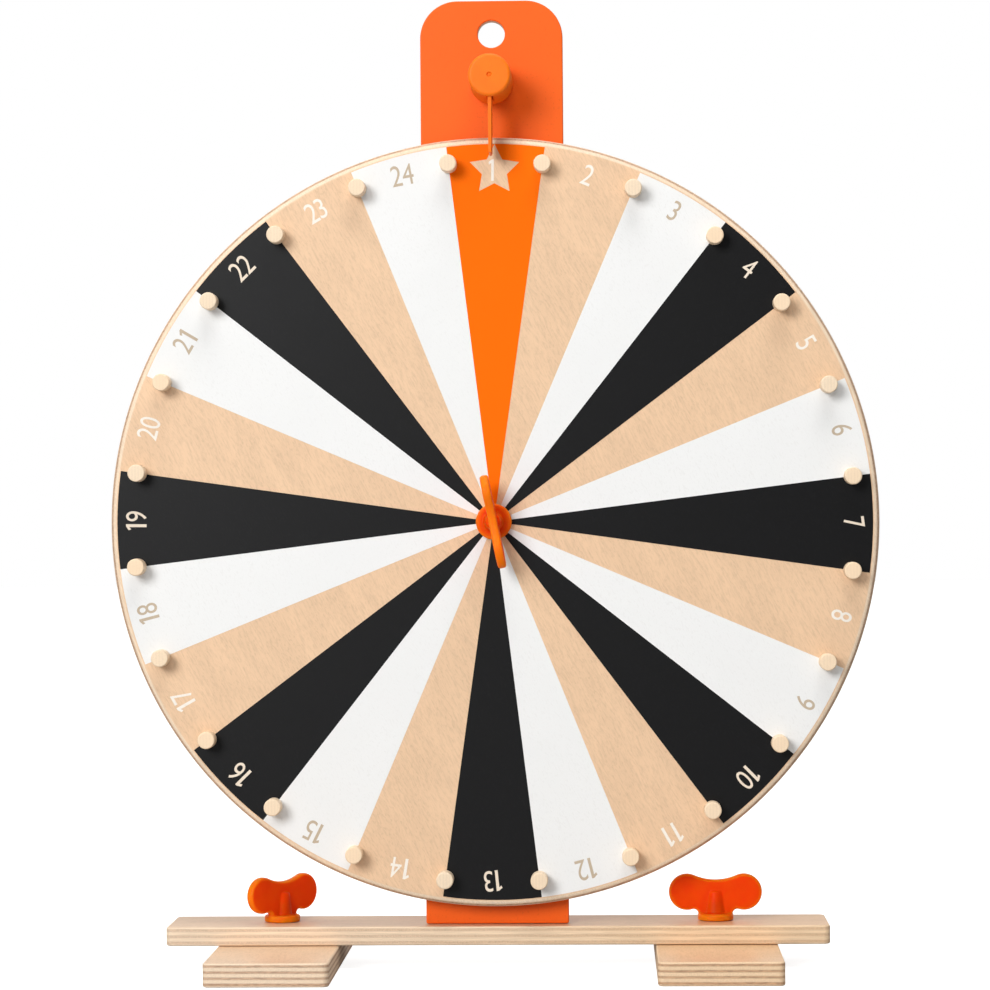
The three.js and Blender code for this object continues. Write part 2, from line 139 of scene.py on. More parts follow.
class WheelSizes(PropertyGroup):
    """Sizes of the wheel and its pegs"""

    edge: length("Rim rounding", "Rounding along the wheel's rim", 4.0)
    bore: length("Bore radius", "Hole in the wheel for its bush", 6.1)
    peg_ring: length("Peg ring radius", "From the wheel's centre to the middle of each peg", 210.5)
    peg_radius: length("Peg radius", "Radius of each dowel peg", 5.0)
    peg_chamfer: length("Peg rounding", "Rounding of each peg's front edge", 0.8)
    plies: whole_number("Plies", "Layers of veneer in the wheel", 7)
    sectors: whole_number("Sectors", "Printed sectors, and pegs between them", 24)
    rest_turn: angle("Rest turn", "How far the wheel stands clockwise of upright", 0.65)


class PrintSizes(PropertyGroup):
    """Sizes of the wheel's print"""

    inner: length("Inner radius", "Where the inked sectors start, under the wing nut", 9.0)
    outer: length("Outer radius", "Where the inked sectors end, short of the rim", 221.0)
    film: length("Ink thickness", "How far the ink stands off the wood", 0.06)
    numeral_high: length("Numeral height", "Height of a sector's number", 12.1)
    numeral_ring: length("Numeral ring", "From the wheel's centre to the middle of each number", 209.9)
    numeral_gap: length("Numeral gap", "Space between the two digits of a number", 0.6)
    one_gap: length("Gap beside a one", "Extra space after the figure one, and most of it before", 1.1)
    numeral_turn: angle("Numeral turn", "How far each number stands clockwise in its sector", -0.08)
    numeral_squeeze: plain_number("Numeral squeeze", "Figure width over its usual", 0.80)
    numeral_bold: plain_number("Numeral bold", "Outward growth of a figure's outline", 0.014)
    star_outer: length("Star tip radius", "From the star's middle to its tips", 15.2)
    star_inner: length("Star notch radius", "From the star's middle to its notches", 7.7)
    star_ring: length("Star ring", "From the wheel's centre to the star's middle", 205.7)
    star_shift: shift("Star shift", "How far right of the sector's middle the star is", -0.6)
    star_numeral: length("Star numeral height", "Height of the number in the star", 12.6)
    star_numeral_shift: shift("Star numeral shift", "How far right of the sector's middle it is", -2.5)
    star_numeral_squeeze: plain_number("Star numeral squeeze", "Its width over the other numbers'", 0.85)


class HardwareSizes(PropertyGroup):
    """Sizes of the wing nuts, bolt, screws, washers and pointer"""

    thread: length("Thread radius", "Radius of the bolt and studs", 3.0)
    pitch: length("Thread pitch", "Rise of the bolt's and studs' thread in one turn", 1.0)
    screw: length("Screw radius", "Radius of a wood screw's shank", 1.8)
    screw_head: length("Screw head radius", "Radius of a wood screw's head", 3.7)
    knob_round: length("Pointer bar rounding", "Rounding of the pointer bar's front edge", 2.0)
    centre_wing: angle("Centre wing turn", "Turn of the centre wing nut from level", 101.3)
    left_wing: angle("Left wing turn", "Turn of the left wing knob, seen from above", 50.0)
    right_wing: angle("Right wing turn", "Turn of the right wing knob, seen from above", 0.0)


class FinishColours(PropertyGroup):
    """Colours of the woods, inks, paint, plastics and metals"""

    veneer: colour("Veneer", "Face of the birch plywood", 0.765, 0.522, 0.330)
    pale_ply: colour("Pale ply", "Edge of the plies that run along the piece", 0.90, 0.71, 0.52)
    dark_ply: colour("Dark ply", "Edge of the plies that run across the piece", 0.54, 0.34, 0.22)
    warm_wood: colour("Warm wood", "Tint of the stand's wood towards its right end", 0.97, 0.90, 0.79)
    glue: colour("Glue line", "Lines between the plies", 0.33, 0.19, 0.10)
    dowel: colour("Dowel", "Beech dowel of the pegs", 0.86, 0.69, 0.50)
    ruddy_dowel: colour("Ruddy dowel", "What some pegs' wood leans towards", 0.92, 0.66, 0.42)
    white_ink: colour("White ink", "White sectors", 0.82, 0.82, 0.81)
    black_ink: colour("Black ink", "Black sectors", 0.002, 0.002, 0.0025)
    cream_ink: colour("Cream ink", "Numbers on bare sectors", 0.88, 0.82, 0.74)
    pale_ink: colour("Pale ink", "Numbers on black sectors", 0.81, 0.70, 0.57)
    tan_ink: colour("Tan ink", "Numbers on white sectors", 0.52, 0.42, 0.31)
    orange_ink: colour("Orange ink", "The star's sector", 0.95, 0.152, 0.0)
    paint: colour("Board paint", "Paint on the upright board", 0.88, 0.120, 0.005)
    red_plastic: colour("Wing nut plastic", "Moulded plastic of the wing nuts", 0.85, 0.060, 0.0002)
    # Painted glow laid on the wing nuts where they are thin, in place of light coming through.
    thin_plastic: colour("Thin plastic", "Wing nut plastic where light comes through", 0.97, 0.215, 0.006)
    orange_plastic: colour("Pointer plastic", "Moulded plastic of the pointer", 0.93, 0.170, 0.002)
    nylon: colour("Nylon", "The spacer behind the wheel", 0.78, 0.75, 0.66)
    brass: colour("Brass", "The bush and the threaded inserts", 0.80, 0.58, 0.28)
    steel: colour("Zinc steel", "Bolt, washer, studs and screws", 0.62, 0.63, 0.65)


class StageSizes(PropertyGroup):
    """Camera, lamps and floor"""

    distance: metres("Distance", "Camera to wheel", 2.0)
    camera_x: metres("Camera X", "Camera's place across", 0.0650)
    camera_z: metres("Camera Z", "Camera's height", 0.2627)
    tilt: angle("Camera tilt", "Upward tilt of the camera from level", 0.418)
    pan: angle("Camera pan", "Turn of the camera to the left", 1.841)
    roll: angle("Camera roll", "Clockwise turn of the picture's frame", 0.42)
    lens: plain_number("Lens", "Focal length in millimetres", 124.47)
    key_power: watts("Key power", "Power of the soft key lamp", 149.0)
    key_size: length("Key size", "Side of the soft key lamp", 1800.0)
    top_power: watts("Top power", "Power of the lamp overhead", 38.0)
    top_size: length("Top size", "Side of the lamp overhead", 1400.0)
    fill: plain_number("Fill", "Brightness of the room on the object", 0.17)
    backdrop: plain_number("Backdrop", "Brightness of the room behind the object", 0.9)
    floor_glow: plain_number("Floor glow", "How far the table is lit up to white", 0.88)


# ---------------------------------------------------------------- outlines and surfaces


def softened(corners, radius, steps=8):
    """Closed outline through the corners, each one replaced by an arc that touches both of its sides.

    At a corner of half angle h the arc's centre lies radius / sin(h) along the bisector and its ends
    lie radius / tan(h) along the sides. Points on the arc turn evenly from one end to the other.
    """
    corners = np.asarray(corners, float)
    radius = np.broadcast_to(np.asarray(radius, float), len(corners))[:, None]
    before = np.roll(corners, 1, 0) - corners
    before /= np.linalg.norm(before, axis=1, keepdims=True)
    after = np.roll(corners, -1, 0) - corners
    after /= np.linalg.norm(after, axis=1, keepdims=True)
    half = np.arccos(np.clip((before * after).sum(1, keepdims=True), -1, 1)) / 2
    half = np.clip(half, 0.01, math.pi / 2 - 0.0001)
    bisector = before + after
    bisector /= np.maximum(np.linalg.norm(bisector, axis=1, keepdims=True), 1e-9)
    centre = corners + bisector * radius / np.sin(half)
    start = corners + before * radius / np.tan(half) - centre
    end = corners + after * radius / np.tan(half) - centre
    turn = (math.pi - 2 * half)[:, :, None]
    part = np.linspace(0, 1, steps + 1)[None, :, None]
    weight_start = np.sin((1 - part) * turn) / np.sin(turn)
    weight_end = np.sin(part * turn) / np.sin(turn)
    points = centre[:, None] + start[:, None] * weight_start + end[:, None] * weight_end
    points = points.reshape(-1, 2)
    fresh = np.linalg.norm(points - np.roll(points, 1, 0), axis=1) > 1e-7
    return points[fresh]


def rectangle(wide, deep):
    """Corners of a rectangle about its middle, anticlockwise."""
    return np.array([[-wide, -deep], [wide, -deep], [wide, deep], [-wide, deep]]) / 2


def circle(radius, segments):
    """Points evenly spaced on a circle, anticlockwise."""
    turn = np.linspace(0, 2 * math.pi, segments, endpoint=False)
    return radius * np.stack([np.cos(turn), np.sin(turn)], -1)


def arc(centre, radius, start, end, steps=16):
    """Points on an arc from one direction to another, in radians."""
    turn = np.linspace(start, end, steps + 1)
    return np.asarray(centre) + radius * np.stack([np.cos(turn), np.sin(turn)], -1)


def mitres(outline):
    """How far each point of a closed outline moves when its sides all move inwards by one."""
    forward = np.roll(outline, -1, 0) - outline
    forward /= np.linalg.norm(forward, axis=1, keepdims=True)
    inward = np.stack([-forward[:, 1], forward[:, 0]], -1)
    before = np.roll(inward, 1, 0)
    return (inward + before) / (1 + (inward * before).sum(1, keepdims=True))


def skin(rings, looped=False):
    """Shell over a stack of closed rings, an array of shape (rings, points, 3).

    Each ring is joined to the next by quads. A looped stack also joins its last ring to its first;
    otherwise the two end rings are filled.
    """
    count, around = rings.shape[:2]
    index = np.arange(count * around).reshape(count, around)
    lower = index if looped else index[:-1]
    upper = np.roll(index, -1, 0) if looped else index[1:]
    quads = np.stack([lower, np.roll(lower, -1, 1), np.roll(upper, -1, 1), upper], -1)
    faces = quads.reshape(-1, 4).tolist()
    if not looped:
        faces.append(index[0, ::-1].tolist())
        faces.append(index[-1].tolist())
    return rings.reshape(-1, 3), faces


def slab(outline, thick, edge, steps=6):
    """Board with rounded edges: the outline is moved in by edge (1 - sin t) at height edge (1 - cos t),
    t from 0 to a quarter turn, and the same again upside down at the top."""
    turn = np.linspace(0, math.pi / 2, steps + 1)
    inset = edge * (1 - np.sin(turn))
    rise = edge * (1 - np.cos(turn))
    inset = np.concatenate([inset, inset[::-1]])
    rise = np.concatenate([rise, thick - rise[::-1]])
    rings = outline + inset[:, None, None] * mitres(outline)
    height = np.broadcast_to(rise[:, None, None], rings.shape[:2] + (1,))
    return skin(np.concatenate([rings, height], -1))


def prism(outline, low, high, spread=0.0):
    """Straight-sided block over an outline, its top moved outwards by spread."""
    top = outline - spread * mitres(outline)
    rings = np.stack([outline, top])
    height = np.broadcast_to(np.array([low, high])[:, None, None], rings.shape[:2] + (1,))
    return skin(np.concatenate([rings, height], -1))


def lathe(profile, segments=64, looped=False):
    """Turned shape: each profile point (radius, height) is carried once round the height axis."""
    profile = np.asarray(profile, float)
    ring = circle(1.0, segments)
    radius = profile[:, 0, None, None]
    height = np.broadcast_to(profile[:, 1, None, None], (len(profile), segments, 1))
    return skin(np.concatenate([radius * ring, height], -1), looped)


def threaded(radius, low, high, pitch, depth, segments=24):
    """Threaded rod. At height z and turn t its radius is radius - depth * tri(z / pitch - t / 2 pi),
    where tri rises and falls evenly between 0 and 1 once a turn. Both ends are pointed off by depth."""
    rows = int(round((high - low) / pitch * 6)) + 1
    height = np.linspace(low, high, rows)[:, None]
    turn = np.linspace(0, 2 * math.pi, segments, endpoint=False)[None, :]
    phase = (height / pitch - turn / (2 * math.pi)) % 1
    cut = 1 - np.abs(2 * phase - 1)
    end = np.minimum(height - low, high - height)
    reach = radius - depth * cut - np.clip(depth - end, 0, depth)
    height = np.broadcast_to(height, reach.shape)
    return skin(np.stack([reach * np.cos(turn), reach * np.sin(turn), height], -1))


def cross_recess(reach, wide, depth, above):
    """Tapered cross for a screwdriver, from depth below the face to above it."""
    near = wide / 2
    far = reach / 2
    corners = [
        (far, -near), (far, near), (near, near), (near, far), (-near, far), (-near, near),
        (-far, near), (-far, -near), (-near, -near), (-near, -far), (near, -far), (near, -near),
    ]
    return prism(np.array(corners), -depth, above, spread=0.12 * (depth + above))


# ---------------------------------------------------------------- pieces


def raw_piece(name, shell):
    """A new object from a shell's points and faces, its doubled points merged and its faces outwards."""
    points, faces = shell
    mesh = bpy.data.meshes.new(name)
    mesh.from_pydata(points.tolist(), [], faces)
    tidy_mesh(mesh)
    piece = bpy.data.objects.new(name, mesh)
    bpy.context.scene.collection.objects.link(piece)
    return piece


def tidy_mesh(mesh):
    """Merges doubled points and turns every face outwards."""
    work = bmesh.new()
    work.from_mesh(mesh)
    bmesh.ops.remove_doubles(work, verts=work.verts, dist=1e-6)
    bmesh.ops.dissolve_degenerate(work, edges=work.edges, dist=1e-7)
    bmesh.ops.recalc_face_normals(work, faces=work.faces)
    work.to_mesh(mesh)
    work.free()


def bake_modifiers(piece):
    """Gives the piece the mesh that its modifiers make, and takes the modifiers off."""
    layers = bpy.context.evaluated_depsgraph_get()
    made = bpy.data.meshes.new_from_object(piece.evaluated_get(layers))
    piece.modifiers.clear()
    old = piece.data
    piece.data = made
    made.name = piece.name
    bpy.data.meshes.remove(old)


def combined(piece, others, operation):
    """Cuts the other objects out of the piece, or joins them to it, and removes them."""
    for other in others:
        step = piece.modifiers.new(operation, "BOOLEAN")
        step.operation = operation
        step.solver = "EXACT"
        step.object = other
    bake_modifiers(piece)
    for other in others:
        bpy.data.meshes.remove(other.data)
    return piece


def carved(piece, *shells):
    """The piece with the shells cut out of it."""
    return combined(piece, [raw_piece("cutter", shell) for shell in shells], "DIFFERENCE")


def moved(shell, x=0.0, y=0.0, z=0.0):
    """The shell, shifted along its own axes."""
    return shell[0] + np.array([x, y, z]), shell[1]


def placed(piece, axes=FLAT, at=(0, 0, 0), lot=0):
    """Notes each point's place on the piece's own axes, then puts the piece where it belongs."""
    mesh = piece.data
    points = np.empty(len(mesh.vertices) * 3)
    mesh.vertices.foreach_get("co", points)
    points = points.reshape(-1, 3)
    own = mesh.attributes.new(OWN_PLACE, "FLOAT_VECTOR", "POINT")
    own.data.foreach_set("vector", (points + np.array([0, 0, lot * LOT_STEP])).ravel())
    points = points @ axes + np.asarray(at, float)
    mesh.vertices.foreach_set("co", points.ravel())
    mesh.update()
    return piece


def finished(piece, material, body, slot, *nodes, flat_faces=True):
    """Smooths the piece's shading, paints it, ties it to its body and hides its frame nodes. The slot is not
    used.
    """
    mesh = piece.data
    mesh.materials.clear()
    mesh.materials.append(material)
    mesh.polygons.foreach_set("use_smooth", np.ones(len(mesh.polygons), bool))
    mesh.set_sharp_from_angle(angle=math.radians(35))
    if flat_faces:
        weigh = piece.modifiers.new("Flat faces stay flat", "WEIGHTED_NORMAL")
        weigh.keep_sharp = True
    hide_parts(*nodes)
    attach(piece, body)
    return piece


def middle(low, high):
    """The point midway between two corners."""
    return (low + high) / 2


# ---------------------------------------------------------------- shader building


def node(tree, kind, inputs=None, **settings):
    """Adds a node. Each input is a socket to link from or a plain value."""
    made = tree.nodes.new(kind)
    for key, value in settings.items():
        setattr(made, key, value)
    for name, value in (inputs or {}).items():
        if isinstance(value, bpy.types.NodeSocket):
            tree.links.new(value, made.inputs[name])
        else:
            made.inputs[name].default_value = value
    return made


def calc(tree, operation, first, second=0.0, third=0.0, clamp=False):
    """The result of one Math node."""
    inputs = {0: first, 1: second, 2: third}
    return node(tree, "ShaderNodeMath", inputs, operation=operation, use_clamp=clamp).outputs[0]


def remap(tree, value, low, high, to_low=0.0, to_high=1.0):
    """A value that goes smoothly from to_low to to_high as the given one goes from low to high."""
    inputs = {"Value": value, "From Min": low, "From Max": high, "To Min": to_low, "To Max": to_high}
    return node(tree, "ShaderNodeMapRange", inputs, interpolation_type="SMOOTHSTEP").outputs[0]


def mixed(tree, mask, first, second, blend="MIX"):
    """First colour where the mask is 0, second where it is 1."""
    inputs = {0: mask, 6: first, 7: second}
    return node(tree, "ShaderNodeMix", inputs, data_type="RGBA", blend_type=blend).outputs[2]


def level_between(tree, coordinate, low, high):
    """0 at low and 1 at high, along one coordinate."""
    inputs = {"Value": coordinate, "From Min": low, "From Max": high, "To Min": 0.0, "To Max": 1.0}
    return node(tree, "ShaderNodeMapRange", inputs).outputs[0]


def mixed_value(tree, mask, first, second):
    """First value where the mask is 0, second where it is 1."""
    return node(tree, "ShaderNodeMix", {0: mask, 2: first, 3: second}, data_type="FLOAT").outputs[0]


def noise(tree, vector, scale, detail=2.0, roughness=0.5):
    """The value of a Noise node."""
    inputs = {"Vector": vector, "Scale": scale, "Detail": detail, "Roughness": roughness}
    return node(tree, "ShaderNodeTexNoise", inputs).outputs["Fac"]


def mapping(tree, vector, location=(0, 0, 0), rotation=(0, 0, 0), scale=(1, 1, 1)):
    """The vector, moved, turned and stretched."""
    inputs = {"Vector": vector, "Location": location, "Rotation": rotation, "Scale": scale}
    return node(tree, "ShaderNodeMapping", inputs).outputs[0]


def split(tree, vector):
    """The X, Y and Z of a vector."""
    return node(tree, "ShaderNodeSeparateXYZ", {0: vector}).outputs


def new_group(name, inputs, outputs):
    """An empty node group and its input node's and output node's sockets.

    Inputs are (name, type, default) and outputs (name, type), the type being Float, Vector or Color.
    """
    group = bpy.data.node_groups.new(name, "ShaderNodeTree")
    for title, kind, default in inputs:
        socket = group.interface.new_socket(title, in_out="INPUT", socket_type="NodeSocket" + kind)
        if default is not None:
            socket.default_value = default
    for title, kind in outputs:
        group.interface.new_socket(title, in_out="OUTPUT", socket_type="NodeSocket" + kind)
    start = group.nodes.new("NodeGroupInput")
    end = group.nodes.new("NodeGroupOutput")
    return group, start.outputs, end.inputs


def use_group(tree, group, inputs):
    """The output sockets of a group placed in a material."""
    return node(tree, "ShaderNodeGroup", inputs, node_tree=group).outputs


def birch_figure_group():
    """Look of birch veneer whose fibres run along the vector's X.

    Clouds is a slow change of tone, Fibre a fine streak and Fleck a scatter of short dark pores.
    """
    group, given, wanted = new_group(
        "Birch figure",
        [("Vector", "Vector", None), ("Size", "Float", 1.0)],
        [("Clouds", "Float"), ("Fibre", "Float"), ("Fleck", "Float")],
    )
    sizing = {0: given["Vector"], "Scale": given["Size"]}
    place = node(group, "ShaderNodeVectorMath", sizing, operation="SCALE").outputs[0]
    slow = mapping(group, place, scale=(26, 70, 70))
    clouds = noise(group, slow, 1.0, 4.0, 0.62)
    bent = node(group, "ShaderNodeTexNoise", {"Vector": place, "Scale": 30.0, "Detail": 1.0})
    swaying = {0: bent.outputs["Color"], "Scale": 4 * MM}
    sway = node(group, "ShaderNodeVectorMath", swaying, operation="SCALE").outputs[0]
    waved = node(group, "ShaderNodeVectorMath", {0: place, 1: sway}, operation="ADD").outputs[0]
    fibre = noise(group, mapping(group, waved, scale=(150, 900, 900)), 1.0, 4.0, 0.65)
    pores = noise(group, mapping(group, waved, (3, 5, 7), scale=(420, 1300, 1300)), 1.0, 1.0, 0.5)
    link = group.links.new
    link(clouds, wanted["Clouds"])
    link(fibre, wanted["Fibre"])
    link(remap(group, pores, 0.55, 0.72), wanted["Fleck"])
    return group


def ply_group():
    """Layers of plywood, Level being 0 on one face and 1 on the other.

    Face is how thick a face ply is, as a share of an inner one. Cross is 1 in the
    heart of every second ply, Glue is 1 on the lines between plies and Ply changes from ply to ply.
    """
    group, given, wanted = new_group(
        "Ply layers",
        [("Level", "Float", 0.5), ("Plies", "Float", 7.0), ("Face", "Float", 0.5),
         ("Vector", "Vector", None)],
        [("Cross", "Float"), ("Glue", "Float"), ("Ply", "Float")],
    )
    centred = calc(group, "SUBTRACT", given["Level"], 0.5)
    inner = calc(group, "MULTIPLY_ADD", given["Face"], 2.0, calc(group, "SUBTRACT", given["Plies"], 2.0))
    half = calc(group, "MULTIPLY", given["Plies"], 0.5)
    wave = noise(group, given["Vector"], 60.0, 2.0)
    wander = calc(group, "MULTIPLY_ADD", wave, 0.30, -0.15)
    height = calc(group, "ADD", calc(group, "MULTIPLY_ADD", centred, inner, half), wander)
    whole = calc(group, "FLOOR", height)
    part = calc(group, "FRACT", height)
    odd = calc(group, "MODULO", calc(group, "ABSOLUTE", whole), 2.0)
    near_line = calc(group, "ABSOLUTE", calc(group, "SUBTRACT", part, 0.5))
    glue = remap(group, near_line, 0.40, 0.49)
    cross = calc(group, "MULTIPLY", odd, remap(group, near_line, 0.30, 0.48, 1.0, 0.0))
    toss = node(group, "ShaderNodeTexWhiteNoise", {"W": whole}, noise_dimensions="1D")
    group.links.new(cross, wanted["Cross"])
    group.links.new(glue, wanted["Glue"])
    group.links.new(toss.outputs["Value"], wanted["Ply"])
    return group


def mottle_group():
    """Uneven tone of a worked surface: Broad is a slow drift, Grit a fine tooth and Specks a few marks."""
    group, given, wanted = new_group(
        "Surface mottle",
        [("Vector", "Vector", None), ("Broad Size", "Float", 0.03), ("Grit Size", "Float", 0.0008)],
        [("Broad", "Float"), ("Grit", "Float"), ("Specks", "Float")],
    )
    broad_scale = calc(group, "DIVIDE", 1.0, given["Broad Size"])
    grit_scale = calc(group, "DIVIDE", 1.0, given["Grit Size"])
    broad = noise(group, given["Vector"], broad_scale, 2.0)
    grit = noise(group, given["Vector"], grit_scale, 2.0, 0.6)
    speck_scale = calc(group, "MULTIPLY", grit_scale, 0.45)
    speck = noise(group, given["Vector"], speck_scale, 0.0)
    group.links.new(broad, wanted["Broad"])
    group.links.new(grit, wanted["Grit"])
    group.links.new(remap(group, speck, 0.68, 0.76), wanted["Specks"])
    return group


def wear_group():
    """Rubbed edge: Mask is 1 on the edge itself and breaks up over Width as Distance from it grows."""
    group, given, wanted = new_group(
        "Rubbed edge",
        [("Distance", "Float", 0.0), ("Width", "Float", 0.001), ("Vector", "Vector", None)],
        [("Mask", "Float")],
    )
    near = calc(group, "SUBTRACT", 1.0, calc(group, "DIVIDE", given["Distance"], given["Width"]), clamp=True)
    ragged = noise(group, given["Vector"], 900.0, 3.0, 0.7)
    mask = remap(group, calc(group, "ADD", near, ragged), 0.95, 1.25)
    group.links.new(mask, wanted["Mask"])
    return group


def turned_group():
    """Fine tool marks of a turned face, as rings about the vector's Z axis."""
    group, given, wanted = new_group(
        "Tool marks",
        [("Vector", "Vector", None), ("Spacing", "Float", 0.0003)],
        [("Rings", "Float"), ("Stain", "Float")],
    )
    x, y, z = split(group, given["Vector"])
    reach = calc(group, "SQRT", calc(group, "MULTIPLY_ADD", x, x, calc(group, "MULTIPLY", y, y)))
    step = calc(group, "DIVIDE", calc(group, "ADD", reach, z), given["Spacing"])
    rings = node(group, "ShaderNodeTexNoise", {"W": step, "Scale": 1.0, "Detail": 2.0}, noise_dimensions="1D")
    stain = noise(group, given["Vector"], 420.0, 3.0, 0.6)
    group.links.new(rings.outputs["Fac"], wanted["Rings"])
    group.links.new(stain, wanted["Stain"])
    return group


GROUP_MAKERS = {
    "Birch figure": birch_figure_group,
    "Ply layers": ply_group,
    "Surface mottle": mottle_group,
    "Rubbed edge": wear_group,
    "Tool marks": turned_group,
}


def shared(name):
    """A shared node group, built the first time it is asked for."""
    return bpy.data.node_groups.get(name) or GROUP_MAKERS[name]()


def new_material(name, **settings):
    """An empty material with a Principled surface. Settings are its sockets' constant values."""
    material = bpy.data.materials.new(name)
    material.use_nodes = True
    tree = material.node_tree
    surface = tree.nodes["Principled BSDF"]
    for socket, value in settings.items():
        surface.inputs[socket.replace("_", " ")].default_value = value
    return material, tree, surface


def place_of(tree):
    """Object coordinates."""
    return tree.nodes.new("ShaderNodeTexCoord").outputs["Object"]


def own_place_of(tree):
    """Each point's place on the piece's own axes."""
    return node(tree, "ShaderNodeAttribute", attribute_name=OWN_PLACE).outputs["Vector"]


def bump(tree, surface, height, distance, strength=1.0):
    """Feeds a height into the surface's normal."""
    made = node(tree, "ShaderNodeBump", {"Height": height, "Distance": distance, "Strength": strength})
    feed(tree, surface, "Normal", made.outputs[0])


def flat_colour(values, strength=1.0):
    """A colour with full alpha, its red, green and blue multiplied by the strength."""
    return (*(Vector(values) * strength), 1.0)


def feed(tree, surface, socket, value):
    """Links a value that changes over the surface to one of the surface's sockets."""
    tree.links.new(value, surface.inputs[socket])


# ---------------------------------------------------------------- finishes


def mottled(tree, place, broad, grit):
    """The outputs of the surface mottle, its drift and its tooth being of these sizes."""
    inputs = {"Vector": place, "Broad Size": broad, "Grit Size": grit}
    return use_group(tree, shared("Surface mottle"), inputs)


def wood_tones(tree, grain, level, plies, colours, crossing_share=1.0):
    """Colour and height of birch plywood. Faces show veneer; between them show the plies' edges.

    Grain has its X along the face's fibres. Cross plies take the figure turned by a quarter, and their
    share says how much they stand out.
    """
    figure = use_group(tree, shared("Birch figure"), {"Vector": grain})
    turned = mapping(tree, grain, (0.3, 0.1, 0.2), rotation=(0, 0, math.pi / 2))
    crossing = use_group(tree, shared("Birch figure"), {"Vector": turned, "Size": 1.4})
    ply_inputs = {"Level": level, "Plies": float(plies), "Vector": grain}
    layers = use_group(tree, shared("Ply layers"), ply_inputs)

    # The veneer: dark pores, then pale clouds, then brown fibres.
    pores = calc(tree, "MULTIPLY", figure["Fleck"], 0.35)
    clouds = remap(tree, figure["Clouds"], 0.35, 0.68, 0.0, 0.55)
    fibres = remap(tree, figure["Fibre"], 0.42, 0.72, 0.0, 0.55)
    face = mixed(tree, pores, flat_colour(colours.veneer), flat_colour(colours.veneer, 0.66))
    face = mixed(tree, clouds, face, flat_colour(colours.veneer, 1.12))
    face = mixed(tree, fibres, face, flat_colour(colours.veneer, 0.80))

    # The plies' edges: long streaks in the pale ones, open pores in the dark ones, glue between them.
    stretched = mapping(tree, grain, scale=(0.25, 2.0, 2.0))
    along = use_group(tree, shared("Birch figure"), {"Vector": stretched})
    streaks = calc(tree, "MULTIPLY", remap(tree, along["Fibre"], 0.38, 0.62), 0.6)
    pitted = remap(tree, crossing["Fibre"], 0.38, 0.66)
    crossed = calc(tree, "MULTIPLY", layers["Cross"], crossing_share)
    uneven = remap(tree, layers["Ply"], 0.0, 1.0, 0.0, 0.22)
    glued = calc(tree, "MULTIPLY", layers["Glue"], 0.22)
    pale = mixed(tree, streaks, flat_colour(colours.pale_ply), flat_colour(colours.pale_ply, 0.74))
    dark = mixed(tree, pitted, flat_colour(colours.dark_ply, 1.15), flat_colour(colours.dark_ply, 0.68))
    edge = mixed(tree, crossed, pale, dark)
    edge = mixed(tree, uneven, edge, flat_colour(colours.pale_ply, 0.8))
    edge = mixed(tree, glued, edge, flat_colour(colours.glue))

    # The veneer ends where the edge's rounding leaves the face.
    inside = calc(tree, "ABSOLUTE", calc(tree, "SUBTRACT", level, 0.5))
    on_face = remap(tree, inside, 0.485, 0.498)
    off_face = calc(tree, "SUBTRACT", 1.0, on_face)
    tones = mixed(tree, on_face, edge, face)

    # Pores sink into the face, and cross plies and glue lines into the edge.
    pore_depth = calc(tree, "MULTIPLY", figure["Fleck"], -0.5)
    face_height = calc(tree, "MULTIPLY_ADD", figure["Fibre"], 0.35, pore_depth)
    glue_depth = calc(tree, "MULTIPLY", layers["Glue"], 0.4)
    rough_edge = calc(tree, "SUBTRACT", calc(tree, "MULTIPLY", pitted, -0.6), glue_depth)
    edge_height = calc(tree, "MULTIPLY", rough_edge, layers["Cross"])
    height = calc(tree, "ADD", face_height, calc(tree, "MULTIPLY", edge_height, off_face))
    return tones, height, on_face, figure


def plywood(name, cad_node, colours, plies, axis, grain_turn, varnish, crossing_share=1.0):
    """Varnished birch plywood of one board, whose plies are stacked along the given axis, Y or Z.

    Boards that lie flat are tinted darker and warmer towards the right.
    """
    material, tree, surface = new_material(name, Coat_Roughness=0.22, Specular_IOR_Level=0.35)
    low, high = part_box(cad_node)
    place = place_of(tree)
    level = level_between(tree, split(tree, place)[axis], low[axis], high[axis])
    grain = mapping(tree, place, rotation=grain_turn)
    tones, height, on_face, figure = wood_tones(tree, grain, level, plies, colours, crossing_share)
    if axis == Z_AXIS:
        towards_right = remap(tree, split(tree, place)[0], -0.15, 0.15)
        tones = mixed(tree, towards_right, tones, flat_colour(colours.warm_wood), "MULTIPLY")
    rough = calc(tree, "MULTIPLY_ADD", figure["Fibre"], 0.16, 0.34)
    rough_edge = calc(tree, "MULTIPLY", calc(tree, "SUBTRACT", 1.0, on_face), 0.22)
    feed(tree, surface, "Base Color", tones)
    feed(tree, surface, "Roughness", calc(tree, "ADD", rough, rough_edge))
    feed(tree, surface, "Coat Weight", calc(tree, "MULTIPLY", on_face, varnish))
    bump(tree, surface, height, 0.12 * MM, 0.7)
    return material


